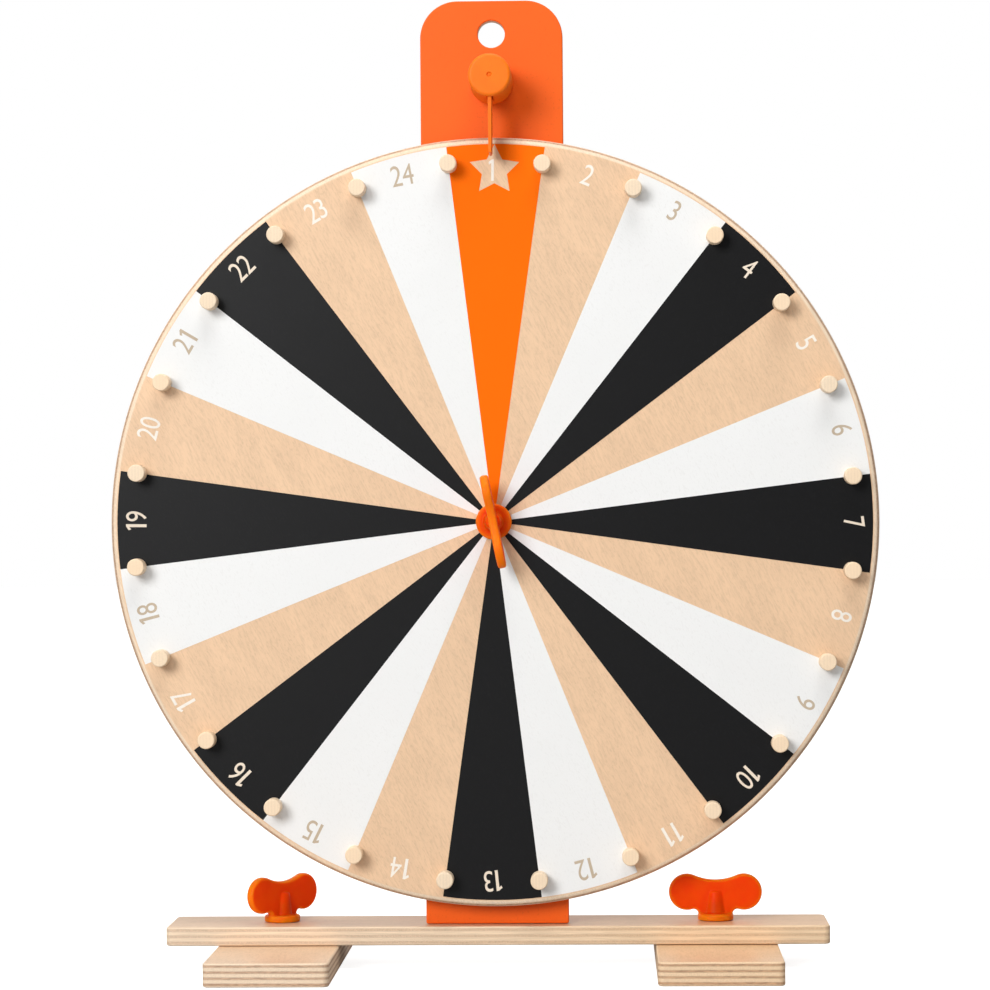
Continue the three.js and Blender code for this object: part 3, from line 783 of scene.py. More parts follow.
def painted_board(colours, plies):
    """Orange paint rolled on the board's two faces, over birch plywood that is bare along its edges."""
    material, tree, surface = new_material("Board paint", Specular_IOR_Level=0.22)
    low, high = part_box("upright_board")
    place = place_of(tree)
    y = split(tree, place)[Y_AXIS]
    level = level_between(tree, y, low.y, high.y)
    grain = mapping(tree, place, rotation=UPRIGHT_GRAIN)
    tones, height, _, figure = wood_tones(tree, grain, level, plies, colours)

    # The paint ends in a ragged line a little way round the edge.
    depth = calc(tree, "MINIMUM", calc(tree, "SUBTRACT", y, low.y), calc(tree, "SUBTRACT", high.y, y))
    from_line = calc(tree, "SUBTRACT", 0.9 * MM, depth)
    rub_inputs = {"Distance": from_line, "Width": 0.7 * MM, "Vector": place}
    rubbed = use_group(tree, shared("Rubbed edge"), rub_inputs)
    bare = calc(tree, "MAXIMUM", rubbed["Mask"], remap(tree, depth, 0.6 * MM, 1.0 * MM))

    # Roller mottle, the veneer's fibres showing through, and a few specks.
    mottle = mottled(tree, place, 50 * MM, 0.7 * MM)
    rolled = remap(tree, mottle["Broad"], 0.3, 0.7, 0.0, 0.35)
    fibres = remap(tree, figure["Fibre"], 0.50, 0.80, 0.0, 0.22)
    specks = calc(tree, "MULTIPLY", mottle["Specks"], 0.25)
    paint = mixed(tree, rolled, flat_colour(colours.paint), flat_colour(colours.paint, 1.10))
    paint = mixed(tree, fibres, paint, flat_colour(colours.paint, 0.82))
    paint = mixed(tree, specks, paint, flat_colour(colours.paint, 0.7))
    rough = calc(tree, "MULTIPLY_ADD", mottle["Grit"], 0.18, 0.36)
    fibre_height = calc(tree, "MULTIPLY", figure["Fibre"], 0.6)
    paint_height = calc(tree, "MULTIPLY_ADD", mottle["Grit"], 0.5, fibre_height)
    feed(tree, surface, "Base Color", mixed(tree, bare, paint, tones))
    feed(tree, surface, "Roughness", calc(tree, "ADD", rough, calc(tree, "MULTIPLY", bare, 0.15)))
    bump(tree, surface, mixed_value(tree, bare, paint_height, height), 0.08 * MM, 0.7)
    return material


def ink(name, base, worn, roughness, gloss):
    """Screen-printed ink: an even film that follows the veneer's fibres and is a little thin on them."""
    material, tree, surface = new_material(name, Specular_IOR_Level=gloss)
    place = place_of(tree)
    grain = mapping(tree, place, rotation=WHEEL_GRAIN)
    figure = use_group(tree, shared("Birch figure"), {"Vector": grain})
    mottle = mottled(tree, place, 60 * MM, 0.6 * MM)
    over_pores = calc(tree, "MULTIPLY", figure["Fleck"], 0.5)
    over_grit = remap(tree, mottle["Grit"], 0.58, 0.74, 0.0, 0.5)
    thin = calc(tree, "ADD", over_pores, over_grit, clamp=True)
    drift = remap(tree, mottle["Broad"], 0.35, 0.7, 0.0, 0.5)
    tone = mixed(tree, thin, flat_colour(base), flat_colour(worn))
    tone = mixed(tree, drift, tone, flat_colour(base, 0.97))
    grit_height = calc(tree, "MULTIPLY", mottle["Grit"], 0.4)
    height = calc(tree, "MULTIPLY_ADD", figure["Fibre"], 0.7, grit_height)
    feed(tree, surface, "Base Color", tone)
    feed(tree, surface, "Roughness", calc(tree, "MULTIPLY_ADD", mottle["Grit"], 0.22, roughness - 0.1))
    bump(tree, surface, height, 0.06 * MM, 0.6)
    return material


def dowel_wood(colours):
    """Turned beech dowel: growth rings and pores on its cut end, fine flecks along its side."""
    material, tree, surface = new_material("Dowel", Specular_IOR_Level=0.35)
    own = own_place_of(tree)
    lot_number = calc(tree, "FLOOR", calc(tree, "MULTIPLY_ADD", split(tree, own)[2], 1 / LOT_STEP, 0.3))
    each = node(tree, "ShaderNodeTexWhiteNoise", {"W": lot_number}, noise_dimensions="1D")
    toss = {0: each.outputs["Color"], "Scale": 20 * MM}
    away = node(tree, "ShaderNodeVectorMath", toss, operation="SCALE").outputs[0]
    fibre_place = node(tree, "ShaderNodeVectorMath", {0: own, 1: away}, operation="ADD").outputs[0]
    leaning = mapping(tree, fibre_place, rotation=(0, 0.06, 0))
    bands = {"Vector": leaning, "Scale": 170.0, "Distortion": 2.5, "Detail": 2.0, "Detail Scale": 60.0}
    rings = node(tree, "ShaderNodeTexWave", bands, wave_type="BANDS", bands_direction="X").outputs["Fac"]
    fibres = noise(tree, mapping(tree, fibre_place, scale=(1700, 1700, 120)), 1.0, 3.0, 0.65)

    late_wood = remap(tree, rings, 0.2, 0.9, 0.0, 0.35)
    pores = remap(tree, fibres, 0.45, 0.75, 0.0, 0.5)
    lot = remap(tree, each.outputs["Value"], 0.0, 1.0, 0.0, 0.45)
    tone = mixed(tree, late_wood, flat_colour(colours.dowel), flat_colour(colours.dowel, 0.84))
    tone = mixed(tree, pores, tone, flat_colour(colours.dowel, 0.78))
    tone = mixed(tree, lot, tone, flat_colour(colours.ruddy_dowel))
    feed(tree, surface, "Base Color", tone)
    feed(tree, surface, "Roughness", calc(tree, "MULTIPLY_ADD", fibres, 0.2, 0.45))
    bump(tree, surface, fibres, 0.15 * MM, 0.6)
    return material


def wing_plastic(colours):
    """Tinted moulded plastic with a fine spark-eroded tooth, and a painted glow where it is thin, standing in
    for light coming through.
    """
    material, tree, surface = new_material(
        "Wing nut plastic", Subsurface_Weight=0.75, Subsurface_Radius=(1.0, 0.18, 0.02),
        Subsurface_Scale=0.011, Specular_IOR_Level=0.08, IOR=1.49,
    )
    own = own_place_of(tree)
    mottle = mottled(tree, own, 12 * MM, 0.4 * MM)
    base = colours.red_plastic
    warm = (min(base[0] * 1.10, 1.0), base[1] * 1.7, base[2])
    drift = remap(tree, mottle["Broad"], 0.35, 0.7, 0.0, 0.4)
    depth = node(tree, "ShaderNodeAttribute", attribute_name=THIN_EDGE).outputs["Fac"]
    # Painted glow: near the wing's outline and the flange's rim the tone turns to the glow colour, in place
    # of light coming through the thin plastic.
    glow = remap(tree, depth, 0.3 * MM, 2.0 * MM, 0.85, 0.0)
    tone = mixed(tree, drift, flat_colour(base), flat_colour(warm))
    tone = mixed(tree, glow, tone, flat_colour(colours.thin_plastic))
    grit_height = calc(tree, "MULTIPLY", mottle["Grit"], 0.2)
    feed(tree, surface, "Base Color", tone)
    feed(tree, surface, "Roughness", calc(tree, "MULTIPLY_ADD", mottle["Grit"], 0.16, 0.30))
    bump(tree, surface, calc(tree, "MULTIPLY_ADD", mottle["Broad"], 0.6, grit_height), 0.06 * MM, 0.5)
    return material


def pointer_plastic(colours):
    """Satin moulded plastic of the pointer bar and leaf, with faint flow and scuffs."""
    material, tree, surface = new_material(
        "Pointer plastic", Subsurface_Weight=0.12, Subsurface_Radius=(1.0, 0.3, 0.06),
        Subsurface_Scale=0.003, Specular_IOR_Level=0.25,
    )
    place = place_of(tree)
    mottle = mottled(tree, place, 14 * MM, 0.5 * MM)
    base = colours.orange_plastic
    warm = (base[0], base[1] * 1.18, base[2] * 1.3)
    flow = remap(tree, mottle["Broad"], 0.3, 0.7, 0.0, 0.5)
    scuffs = calc(tree, "MULTIPLY", mottle["Specks"], 0.2)
    tone = mixed(tree, flow, flat_colour(base), flat_colour(warm))
    tone = mixed(tree, scuffs, tone, flat_colour(base, 0.75))
    feed(tree, surface, "Base Color", tone)
    feed(tree, surface, "Roughness", calc(tree, "MULTIPLY_ADD", mottle["Grit"], 0.2, 0.38))
    bump(tree, surface, mottle["Grit"], 0.04 * MM, 0.5)
    return material


def turned_metal(name, base, roughness, spacing):
    """Turned or plated metal with fine tool marks and a little tarnish."""
    material, tree, surface = new_material(name, Metallic=1.0)
    own = own_place_of(tree)
    marks = use_group(tree, shared("Tool marks"), {"Vector": own, "Spacing": spacing})
    tarnish = remap(tree, marks["Stain"], 0.45, 0.75, 0.0, 0.55)
    dulled = remap(tree, marks["Stain"], 0.5, 0.8, 0.0, 0.2)
    rough = calc(tree, "MULTIPLY_ADD", marks["Rings"], 0.2, roughness - 0.1)
    feed(tree, surface, "Base Color", mixed(tree, tarnish, flat_colour(base), flat_colour(base, 0.62)))
    feed(tree, surface, "Roughness", calc(tree, "ADD", rough, dulled))
    bump(tree, surface, marks["Rings"], 0.03 * MM, 0.5)
    return material


def nylon(colours):
    """Turned nylon of the spacer, a little waxy and stained."""
    material, tree, surface = new_material("Nylon", Subsurface_Weight=0.2, Subsurface_Scale=0.002)
    own = own_place_of(tree)
    marks = use_group(tree, shared("Tool marks"), {"Vector": own, "Spacing": 0.4 * MM})
    stain = remap(tree, marks["Stain"], 0.4, 0.8, 0.0, 0.5)
    tone = mixed(tree, stain, flat_colour(colours.nylon), flat_colour(colours.nylon, 0.85))
    feed(tree, surface, "Base Color", tone)
    feed(tree, surface, "Roughness", calc(tree, "MULTIPLY_ADD", marks["Rings"], 0.2, 0.35))
    bump(tree, surface, marks["Rings"], 0.04 * MM, 0.5)
    return material


def brass(colours):
    """The brass, made the first time it is asked for."""
    return bpy.data.materials.get("Brass") or turned_metal("Brass", colours.brass, 0.30, 0.25 * MM)


def zinc_steel(colours):
    """The zinc-plated steel, made the first time it is asked for."""
    return bpy.data.materials.get("Zinc steel") or turned_metal("Zinc steel", colours.steel, 0.34, 0.3 * MM)


# ---------------------------------------------------------------- stand


def hole(radius, low, high, ease):
    """Cutter for a round hole from low to high, opened by ease at each end and running on past it."""
    past = 2 * MM
    profile = [
        (0, low - past), (radius + ease + past, low - past), (radius, low + ease), (radius, high - ease),
        (radius + ease + past, high + past), (0, high + past),
    ]
    return lathe(profile, 64)


def blind(radius, low, high):
    """Cutter for a plain round hole."""
    return lathe([(0, low), (radius, low), (radius, high), (0, high)], 48)


def joined(*shells):
    """Several separate shells as one."""
    points = []
    faces = []
    for shell_points, shell_faces in shells:
        start = sum(len(group) for group in points)
        points.append(shell_points)
        faces.extend([[index + start for index in face] for face in shell_faces])
    return np.concatenate(points), faces


class SPINNER_OT_feet(Operator):
    """Adds the two plywood feet and the threaded insert sunk in each"""

    bl_idname = "spinner.feet"
    bl_label = "Feet"

    def execute(self, context):
        sizes = context.scene.spinner_stand
        colours = context.scene.spinner_colours
        for side in ("left", "right"):
            low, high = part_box("foot_" + side)
            span = high - low
            outline = softened(rectangle(span.x, span.y), sizes.corner)
            board = raw_piece("foot_" + side, slab(outline, span.z, sizes.edge))
            for_flange = blind(6.3 * MM, -MM, 2.5 * MM)
            for_barrel = blind(4.8 * MM, MM, span.z + MM)
            carved(board, for_flange, for_barrel)
            centre = middle(low, high)
            placed(board, FLAT, (centre.x, centre.y, low.z))
            wood = plywood("Foot birch " + side, "foot_" + side, colours, sizes.foot_plies, Z_AXIS,
                           FOOT_GRAIN, varnish=0.35)
            finished(board, wood, side + "_foot", "birch_plywood", "foot_" + side)
            add_insert(colours, side)
        return {"FINISHED"}


def add_insert(colours, side):
    """Barbed brass insert: a flange, then a barrel whose barbs swell towards the flange."""
    low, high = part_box("threaded_insert_" + side)
    tall = high.z - low.z
    flange = (high.x - low.x) / 2
    bore = 3.3 * MM
    barrel = 4.5 * MM
    waist_radius = barrel - 0.5 * MM
    barb = 1.6 * MM
    start = 1.2 * MM
    turns = int((tall - start - MM) / barb)
    rise = start + barb * np.arange(turns)
    swell = np.stack([np.full(turns, barrel), rise + 0.3 * MM], -1)
    waist = np.stack([np.full(turns, waist_radius), rise + barb], -1)
    barbs = np.stack([swell, waist], 1).reshape(-1, 2).tolist()
    profile = [(bore, 0), (flange, 0), (flange, start), *barbs, (waist_radius, tall), (bore, tall)]
    insert = raw_piece("threaded_insert_" + side, lathe(profile, 48, looped=True))
    centre = middle(low, high)
    placed(insert, FLAT, (centre.x, centre.y, low.z))
    finished(insert, brass(colours), side + "_foot", "brass_fittings", "threaded_insert_" + side)


class SPINNER_OT_plank(Operator):
    """Adds the plank with its two stud holes and its two countersunk screw holes"""

    bl_idname = "spinner.plank"
    bl_label = "Plank"

    def execute(self, context):
        sizes = context.scene.spinner_stand
        hardware = context.scene.spinner_hardware
        low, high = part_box("base_plank")
        span = high - low
        outline = softened(rectangle(span.x, span.y), sizes.corner)
        board = raw_piece("base_plank", slab(outline, span.z, sizes.edge))
        cutters = []
        for side in ("left", "right"):
            stud_low, stud_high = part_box("stud_" + side)
            stud = middle(stud_low, stud_high)
            clearance = 0.3 * MM
            cutters.append(moved(hole(hardware.thread + clearance, 0, span.z, 0.4 * MM), stud.x, stud.y))
            screw_low, screw_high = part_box("base_screw_" + side)
            screw = middle(screw_low, screw_high)
            head = hardware.screw_head + clearance
            shank = hardware.screw + clearance
            past = span.z + MM
            sunk = [(0, -MM), (head, -MM), (head, 0.9 * MM), (shank, 3.2 * MM), (shank, past), (0, past)]
            cutters.append(moved(lathe(sunk, 32), screw.x, screw.y))
        carved(board, joined(*cutters))
        centre = middle(low, high)
        placed(board, FLAT, (centre.x, centre.y, low.z))
        wood = plywood("Plank birch", "base_plank", context.scene.spinner_colours, sizes.plies, Z_AXIS,
                       PLANK_GRAIN, varnish=0.12, crossing_share=0.5)
        finished(board, wood, "stand", "birch_plywood", "base_plank")
        return {"FINISHED"}


class SPINNER_OT_upright(Operator):
    """Adds the painted upright board with its hang hole, bolt hole and pointer screw holes"""

    bl_idname = "spinner.upright"
    bl_label = "Upright board"

    def execute(self, context):
        sizes = context.scene.spinner_stand
        low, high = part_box("upright_board")
        wide = (high.x - low.x) / 2
        tall = high.z - low.z
        thick = high.y - low.y
        corners = [(-wide, 0), (wide, 0), (wide, tall), (-wide, tall)]
        foot_corner = 1.2 * MM
        rounding = [foot_corner, foot_corner, sizes.board_corner, sizes.board_corner]
        outline = softened(corners, rounding, 24)
        board = raw_piece("upright_board", slab(outline, thick, sizes.board_edge))
        bolt_low, bolt_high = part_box("centre_bolt")
        bolt_z = middle(bolt_low, bolt_high).z - low.z
        square = 7 * MM
        hang_hole = hole(sizes.hang_radius, 0, thick, 0.6 * MM)
        neck_hole = prism(rectangle(square, square), -MM, thick + MM)
        screw_hole = hole(2.1 * MM, 0, thick, 0.1 * MM)
        cutters = [moved(hang_hole, 0, tall - sizes.hang_drop), moved(neck_hole, 0, bolt_z)]
        for place in ("upper", "lower"):
            screw_low, screw_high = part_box("pointer_screw_" + place)
            cutters.append(moved(screw_hole, 0, middle(screw_low, screw_high).z - low.z))
        carved(board, joined(*cutters))
        placed(board, FACING_PLAYER, (0, high.y, low.z))
        paint = painted_board(context.scene.spinner_colours, sizes.plies)
        finished(board, paint, "stand", "orange_paint", "upright_board")
        return {"FINISHED"}


# ---------------------------------------------------------------- wheel


def clockwise(points, degrees):
    """Points in the wheel's face turned clockwise about its centre, as the player sees it."""
    turn = math.radians(degrees)
    x = points[:, 0] * math.cos(turn) + points[:, 1] * math.sin(turn)
    y = points[:, 1] * math.cos(turn) - points[:, 0] * math.sin(turn)
    return np.stack([x, y], -1)


class SPINNER_OT_wheel(Operator):
    """Adds the plywood wheel with its bore and a hole for each peg"""

    bl_idname = "spinner.wheel"
    bl_label = "Wheel"

    def execute(self, context):
        sizes = context.scene.spinner_wheel
        low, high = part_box("wheel_disc")
        thick = high.y - low.y
        radius = (high.x - low.x) / 2
        disc = raw_piece("wheel_disc", slab(circle(radius, 288), thick, sizes.edge, 8))
        peg_gap = 0.06 * MM
        peg_hole = blind(sizes.peg_radius + peg_gap, -MM, thick + MM)
        cutters = [blind(sizes.bore, -MM, thick + MM)]
        for number in range(sizes.sectors):
            x, y = peg_place(sizes, number)
            cutters.append(moved(peg_hole, x, y))
        carved(disc, joined(*cutters))
        centre = middle(low, high)
        placed(disc, FACING_PLAYER, (centre.x, high.y, centre.z))
        wood = plywood("Wheel birch", "wheel_disc", context.scene.spinner_colours, sizes.plies, Y_AXIS,
                       WHEEL_GRAIN, varnish=0.25)
        finished(disc, wood, "wheel", "printed_plywood", "wheel_disc")
        return {"FINISHED"}


def peg_place(sizes, number):
    """Place of a peg in the wheel's face, the first one just clockwise of the top."""
    turn = 360 / sizes.sectors * (number + 0.5) + math.degrees(sizes.rest_turn)
    return clockwise(np.array([[0.0, sizes.peg_ring]]), turn)[0]


class SPINNER_OT_pegs(Operator):
    """Adds the dowel pegs, flush at the wheel's back and rounded at the front"""

    bl_idname = "spinner.pegs"
    bl_label = "Pegs"

    def execute(self, context):
        sizes = context.scene.spinner_wheel
        wheel_low, wheel_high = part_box("wheel_disc")
        centre = middle(wheel_low, wheel_high)
        wood = dowel_wood(context.scene.spinner_colours)
        for number in range(sizes.sectors):
            name = f"peg_{number + 1:02d}"
            low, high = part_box(name)
            long = high.y - low.y
            radius = sizes.peg_radius
            corners = [(0, 0), (radius, 0), (radius, long), (0, long)]
            profile = softened(corners, [0, 0.2 * MM, sizes.peg_chamfer, 0], 6)
            peg = raw_piece(name, lathe(profile, 48))
            x, z = peg_place(sizes, number)
            placed(peg, FACING_PLAYER, (centre.x + x, high.y, centre.z + z), number)
            finished(peg, wood, "wheel", "dowel_wood", name)
        return {"FINISHED"}


# ---------------------------------------------------------------- print

# Figures are drawn this high, and their outlines scaled from it. The one is a stem with a slanting flag.
FIGURE_HEIGHT = 0.7
FIGURE_ONE = np.array([
    (0.13, 0), (0.255, 0), (0.255, 0.7), (0.165, 0.7), (0.0, 0.61), (0.035, 0.525), (0.13, 0.585),
])
# Numbers that stand a little out of true, in degrees clockwise.
LEANING = {2: 7, 4: -8, 7: -8, 13: -6, 14: -6, 15: -4, 24: 4}
# Each ink's piece, material and colour, its tone where it is thin, its roughness and its gloss. The
# first three cover sectors, and the others are the numbers on bare, black and white ones.
INKS = (
    ("print_black", "Black ink", "black_ink", (0.006, 0.006, 0.007), 0.36, 0.26),
    ("print_white", "White ink", "white_ink", (0.75, 0.745, 0.73), 0.5, 0.10),
    ("print_orange", "Orange ink", "orange_ink", (0.85, 0.15, 0.0), 0.5, 0.06),
    ("print_cream", "Cream ink", "cream_ink", (0.80, 0.71, 0.60), 0.5, 0.10),
    ("print_pale", "Pale ink", "pale_ink", (0.74, 0.61, 0.47), 0.5, 0.10),
    ("print_tan", "Tan ink", "tan_ink", (0.62, 0.50, 0.37), 0.5, 0.10),
)


def figure_outlines(figure, squeeze, bold):
    """Closed outlines of one figure, its lower left corner at the origin.

    A figure's outline is moved outwards by bold, and its width is multiplied by squeeze.
    """
    if figure == "1":
        return [FIGURE_ONE * np.array([squeeze, 1])]
    text = bpy.data.curves.new("figure", "FONT")
    text.body = figure
    text.offset = bold
    holder = bpy.data.objects.new("figure", text)
    bpy.context.scene.collection.objects.link(holder)
    layers = bpy.context.evaluated_depsgraph_get()
    curve = holder.evaluated_get(layers).to_curve(layers)
    outlines = [bezier_points(spline) for spline in curve.splines]
    bpy.data.curves.remove(text)
    every = np.concatenate(outlines)
    low = every.min(0)
    scale = FIGURE_HEIGHT / (every[:, 1].max() - low[1])
    return [(outline - low) * scale * np.array([squeeze, 1]) for outline in outlines]


def bezier_points(spline, steps=8):
    """Points along a closed Bezier spline: the cubic blend of each knot, its handles and the next knot."""
    count = len(spline.bezier_points)
    knots, leaving, arriving = np.empty((3, count * 3))
    spline.bezier_points.foreach_get("co", knots)
    spline.bezier_points.foreach_get("handle_right", leaving)
    spline.bezier_points.foreach_get("handle_left", arriving)
    knots, leaving, arriving = (part.reshape(-1, 1, 3)[:, :, :2] for part in (knots, leaving, arriving))
    along = (np.arange(steps) / steps)[None, :, None]
    back = 1 - along
    following = np.roll(knots, -1, 0)
    arriving = np.roll(arriving, -1, 0)
    points = back**3 * knots + 3 * back**2 * along * leaving
    points = points + 3 * back * along**2 * arriving + along**3 * following
    return points.reshape(-1, 2)


def number_outlines(number, tall, gap, one_gap, figures):
    """Outlines of a whole number, centred on the origin. A one stands further from its neighbour.

    The space before a one is less than the space after it, because its flag already leaves some.
    """
    scale = tall / FIGURE_HEIGHT
    before_one = 0.7 * one_gap
    outlines = []
    pen = 0.0
    wide = 0.0
    for figure in str(number):
        drawn = [outline * scale for outline in figures[figure]]
        if figure == "1" and outlines:
            pen += before_one
        outlines.extend([outline + np.array([pen, -tall / 2]) for outline in drawn])
        wide = pen + max(outline[:, 0].max() for outline in drawn)
        pen = wide + gap
        if figure == "1":
            pen += one_gap
    return [outline - np.array([wide / 2, 0]) for outline in outlines]


def sector_outline(sizes, sectors):
    """Outline of the top sector, which is 360 / sectors degrees wide and points at the centre."""
    half = math.pi / sectors
    upright = math.pi / 2
    outer = arc((0, 0), sizes.outer, upright - half, upright + half, 24)
    inner = arc((0, 0), sizes.inner, upright + half, upright - half, 4)
    return np.concatenate([outer, inner])


def star_outline(outer, inner):
    """Five-pointed star, one tip up."""
    turn = math.pi / 2 + np.arange(10) * math.pi / 5
    reach = np.where(np.arange(10) % 2 == 0, outer, inner)
    return np.stack([reach * np.cos(turn), reach * np.sin(turn)], -1)


def sector_number(sizes, number, figures):
    """Outlines of a number where it stands in the top sector."""
    turn = math.degrees(sizes.numeral_turn)
    up = np.array([0, sizes.numeral_ring])
    drawn = number_outlines(number, sizes.numeral_high, sizes.numeral_gap, sizes.one_gap, figures)
    drawn = [clockwise(outline, LEANING.get(number, 0)) + up for outline in drawn]
    return [clockwise(outline, turn) for outline in drawn]


def star_and_one(sizes, figures):
    """Outline of the top sector's star, and the outlines of the number in it."""
    star = star_outline(sizes.star_outer, sizes.star_inner) + np.array([sizes.star_shift, sizes.star_ring])
    narrow = np.array([sizes.star_numeral_squeeze, 1])
    up = np.array([sizes.star_numeral_shift, sizes.star_ring])
    drawn = number_outlines(1, sizes.star_numeral, 0, 0, figures)
    return star, [outline * narrow + up for outline in drawn]


def ink_film(outlines, film, degrees):
    """Shell of an ink film between closed outlines, turned clockwise about the wheel's centre.

    The outlines are drawn as a flat curve, a thousand times over size, where its filling is exact.
    """
    curve = bpy.data.curves.new("film", "CURVE")
    curve.dimensions = "2D"
    curve.fill_mode = "BOTH"
    curve.extrude = film / MM / 2
    for outline in outlines:
        spline = curve.splines.new("POLY")
        spline.points.add(len(outline) - 1)
        knots = np.zeros((len(outline), 4))
        knots[:, :2] = outline / MM
        spline.points.foreach_set("co", knots.ravel())
        spline.use_cyclic_u = True
    holder = bpy.data.objects.new("film", curve)
    bpy.context.scene.collection.objects.link(holder)
    layers = bpy.context.evaluated_depsgraph_get()
    mesh = bpy.data.meshes.new_from_object(holder.evaluated_get(layers))
    bpy.data.curves.remove(curve)
    points = np.empty(len(mesh.vertices) * 3)
    mesh.vertices.foreach_get("co", points)
    points = points.reshape(-1, 3) * MM + np.array([0, 0, film / 2])
    points[:, :2] = clockwise(points, degrees)
    faces = [list(face.vertices) for face in mesh.polygons]
    bpy.data.meshes.remove(mesh)
    return points, faces


class SPINNER_OT_print(Operator):
    """Adds the wheel's ink: black, white and orange sectors, and the numbers set into them"""

    bl_idname = "spinner.print"
    bl_label = "Print"

    def execute(self, context):
        sizes = context.scene.spinner_print
        wheel = context.scene.spinner_wheel
        colours = context.scene.spinner_colours
        squeeze, bold = sizes.numeral_squeeze, sizes.numeral_bold
        figures = {figure: figure_outlines(figure, squeeze, bold) for figure in "0123456789"}
        sector = sector_outline(sizes, wheel.sectors)
        rest_turn = math.degrees(wheel.rest_turn)
        films = {name: [] for name, *look in INKS}
        for number in range(2, wheel.sectors + 1):
            drawn = sector_number(sizes, number, figures)
            turn = (number - 1) * 360 / wheel.sectors + rest_turn
            if number % 3 == 1:
                films["print_black"].append(ink_film([sector, *drawn], sizes.film, turn))
                films["print_pale"].append(ink_film(drawn, sizes.film, turn))
            elif number % 3 == 0:
                films["print_white"].append(ink_film([sector, *drawn], sizes.film, turn))
                films["print_tan"].append(ink_film(drawn, sizes.film, turn))
            else:
                films["print_cream"].append(ink_film(drawn, sizes.film, turn))
        star, first = star_and_one(sizes, figures)
        films["print_orange"].append(ink_film([sector, star], sizes.film, rest_turn))
        films["print_cream"].append(ink_film(first, sizes.film, rest_turn))

        low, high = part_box("wheel_disc")
        centre = middle(low, high)
        for name, title, base, worn, roughness, gloss in INKS:
            film = raw_piece(name, joined(*films[name]))
            placed(film, FACING_PLAYER, (centre.x, low.y, centre.z))
            material = ink(title, getattr(colours, base), worn, roughness, gloss)
            finished(film, material, "wheel", "printed_plywood", "wheel_disc", flat_faces=False)
        return {"FINISHED"}


# ---------------------------------------------------------------- hub, studs and screws

THREAD_DEPTH = 0.45 * MM  # from crest to root, on the bolt and studs


def washer(name, bore, ease):
    """Flat ring the size of the frame node of that name, with eased edges."""
    low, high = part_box(name)
    radius = (high.x - low.x) / 2
    thick = high.y - low.y
    corners = [(bore, 0), (radius, 0), (radius, thick), (bore, thick)]
    ring = raw_piece(name, lathe(softened(corners, ease, 4), 64, looped=True))
    centre = middle(low, high)
    return placed(ring, FACING_PLAYER, (centre.x, high.y, centre.z))


class SPINNER_OT_hub(Operator):
    """Adds the wheel's bush, the spacer behind it, the bolt and the washer under the wing nut"""

    bl_idname = "spinner.hub"
    bl_label = "Hub"

    def execute(self, context):
        sizes = context.scene.spinner_hardware
        colours = context.scene.spinner_colours
        clear = sizes.thread + 0.3 * MM
        steel = zinc_steel(colours)
        bush = washer("wheel_bush", clear, 0.4 * MM)
        finished(bush, brass(colours), "wheel", "brass_fittings", "wheel_bush")
        spacer = washer("spacer_washer", clear, 0.5 * MM)
        finished(spacer, nylon(colours), "stand", "nylon_spacer", "spacer_washer")
        front = washer("front_washer", clear, 0.2 * MM)
        finished(front, steel, "stand", "zinc_steel", "front_washer")

        low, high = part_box("centre_bolt")
        centre = middle(low, high)
        head_high, head_wide = 3.4 * MM, (high.x - low.x) / 2
        neck_wide, neck_long = 6.4 * MM, 4.2 * MM
        dome_end = 0.93  # how much of a quarter round the dome takes before the head's rim
        turn = np.linspace(0, 1, 13) * math.pi / 2 * dome_end
        dome = np.stack([head_wide * np.sin(turn), -head_high * np.cos(turn)], -1)
        profile = [*dome.tolist(), (head_wide, -0.4 * MM), (head_wide, 0), (0, 0)]
        bolt = raw_piece("centre_bolt", lathe(profile, 64))
        square = softened(rectangle(neck_wide, neck_wide), 0.4 * MM, 4)
        neck = raw_piece("neck", slab(square, neck_long, 0.1 * MM))
        shank_long = high.y - low.y - head_high
        thread = threaded(sizes.thread, -MM, shank_long, sizes.pitch, THREAD_DEPTH)
        shank = raw_piece("shank", thread)
        combined(bolt, [neck, shank], "UNION")
        placed(bolt, FACING_PLAYER, (centre.x, high.y - head_high, centre.z))
        finished(bolt, steel, "stand", "zinc_steel", "centre_bolt")
        return {"FINISHED"}


class SPINNER_OT_studs(Operator):
    """Adds the threaded stud moulded into each base wing knob"""

    bl_idname = "spinner.studs"
    bl_label = "Studs"

    def execute(self, context):
        sizes = context.scene.spinner_hardware
        steel = zinc_steel(context.scene.spinner_colours)
        for side in ("left", "right"):
            low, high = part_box("stud_" + side)
            rod = threaded(sizes.thread, 0, high.z - low.z, sizes.pitch, THREAD_DEPTH)
            stud = raw_piece("stud_" + side, rod)
            centre = middle(low, high)
            placed(stud, FLAT, (centre.x, centre.y, low.z))
            finished(stud, steel, side + "_knob", "zinc_steel", "stud_" + side)
        return {"FINISHED"}


def wood_screw(name, head, long, sizes, recess):
    """Wood screw: a turned head, a threaded shank, a plain point and a cross recess in the head."""
    pitch, depth = 1.6 * MM, 0.5 * MM
    thread_end, point_start = long - 3 * MM, long - 5 * MM
    point_wide, point_end = 1.1 * MM, 0.1 * MM
    screw = raw_piece(name, lathe(head, 48))
    shank = raw_piece("shank", threaded(sizes.screw, 0.3 * MM, thread_end, pitch, depth, 20))
    point = [(0, point_start), (point_wide, point_start), (point_end, long), (0, long)]
    tip = raw_piece("tip", lathe(point, 20))
    combined(screw, [shank, tip], "UNION")
    return carved(screw, recess)


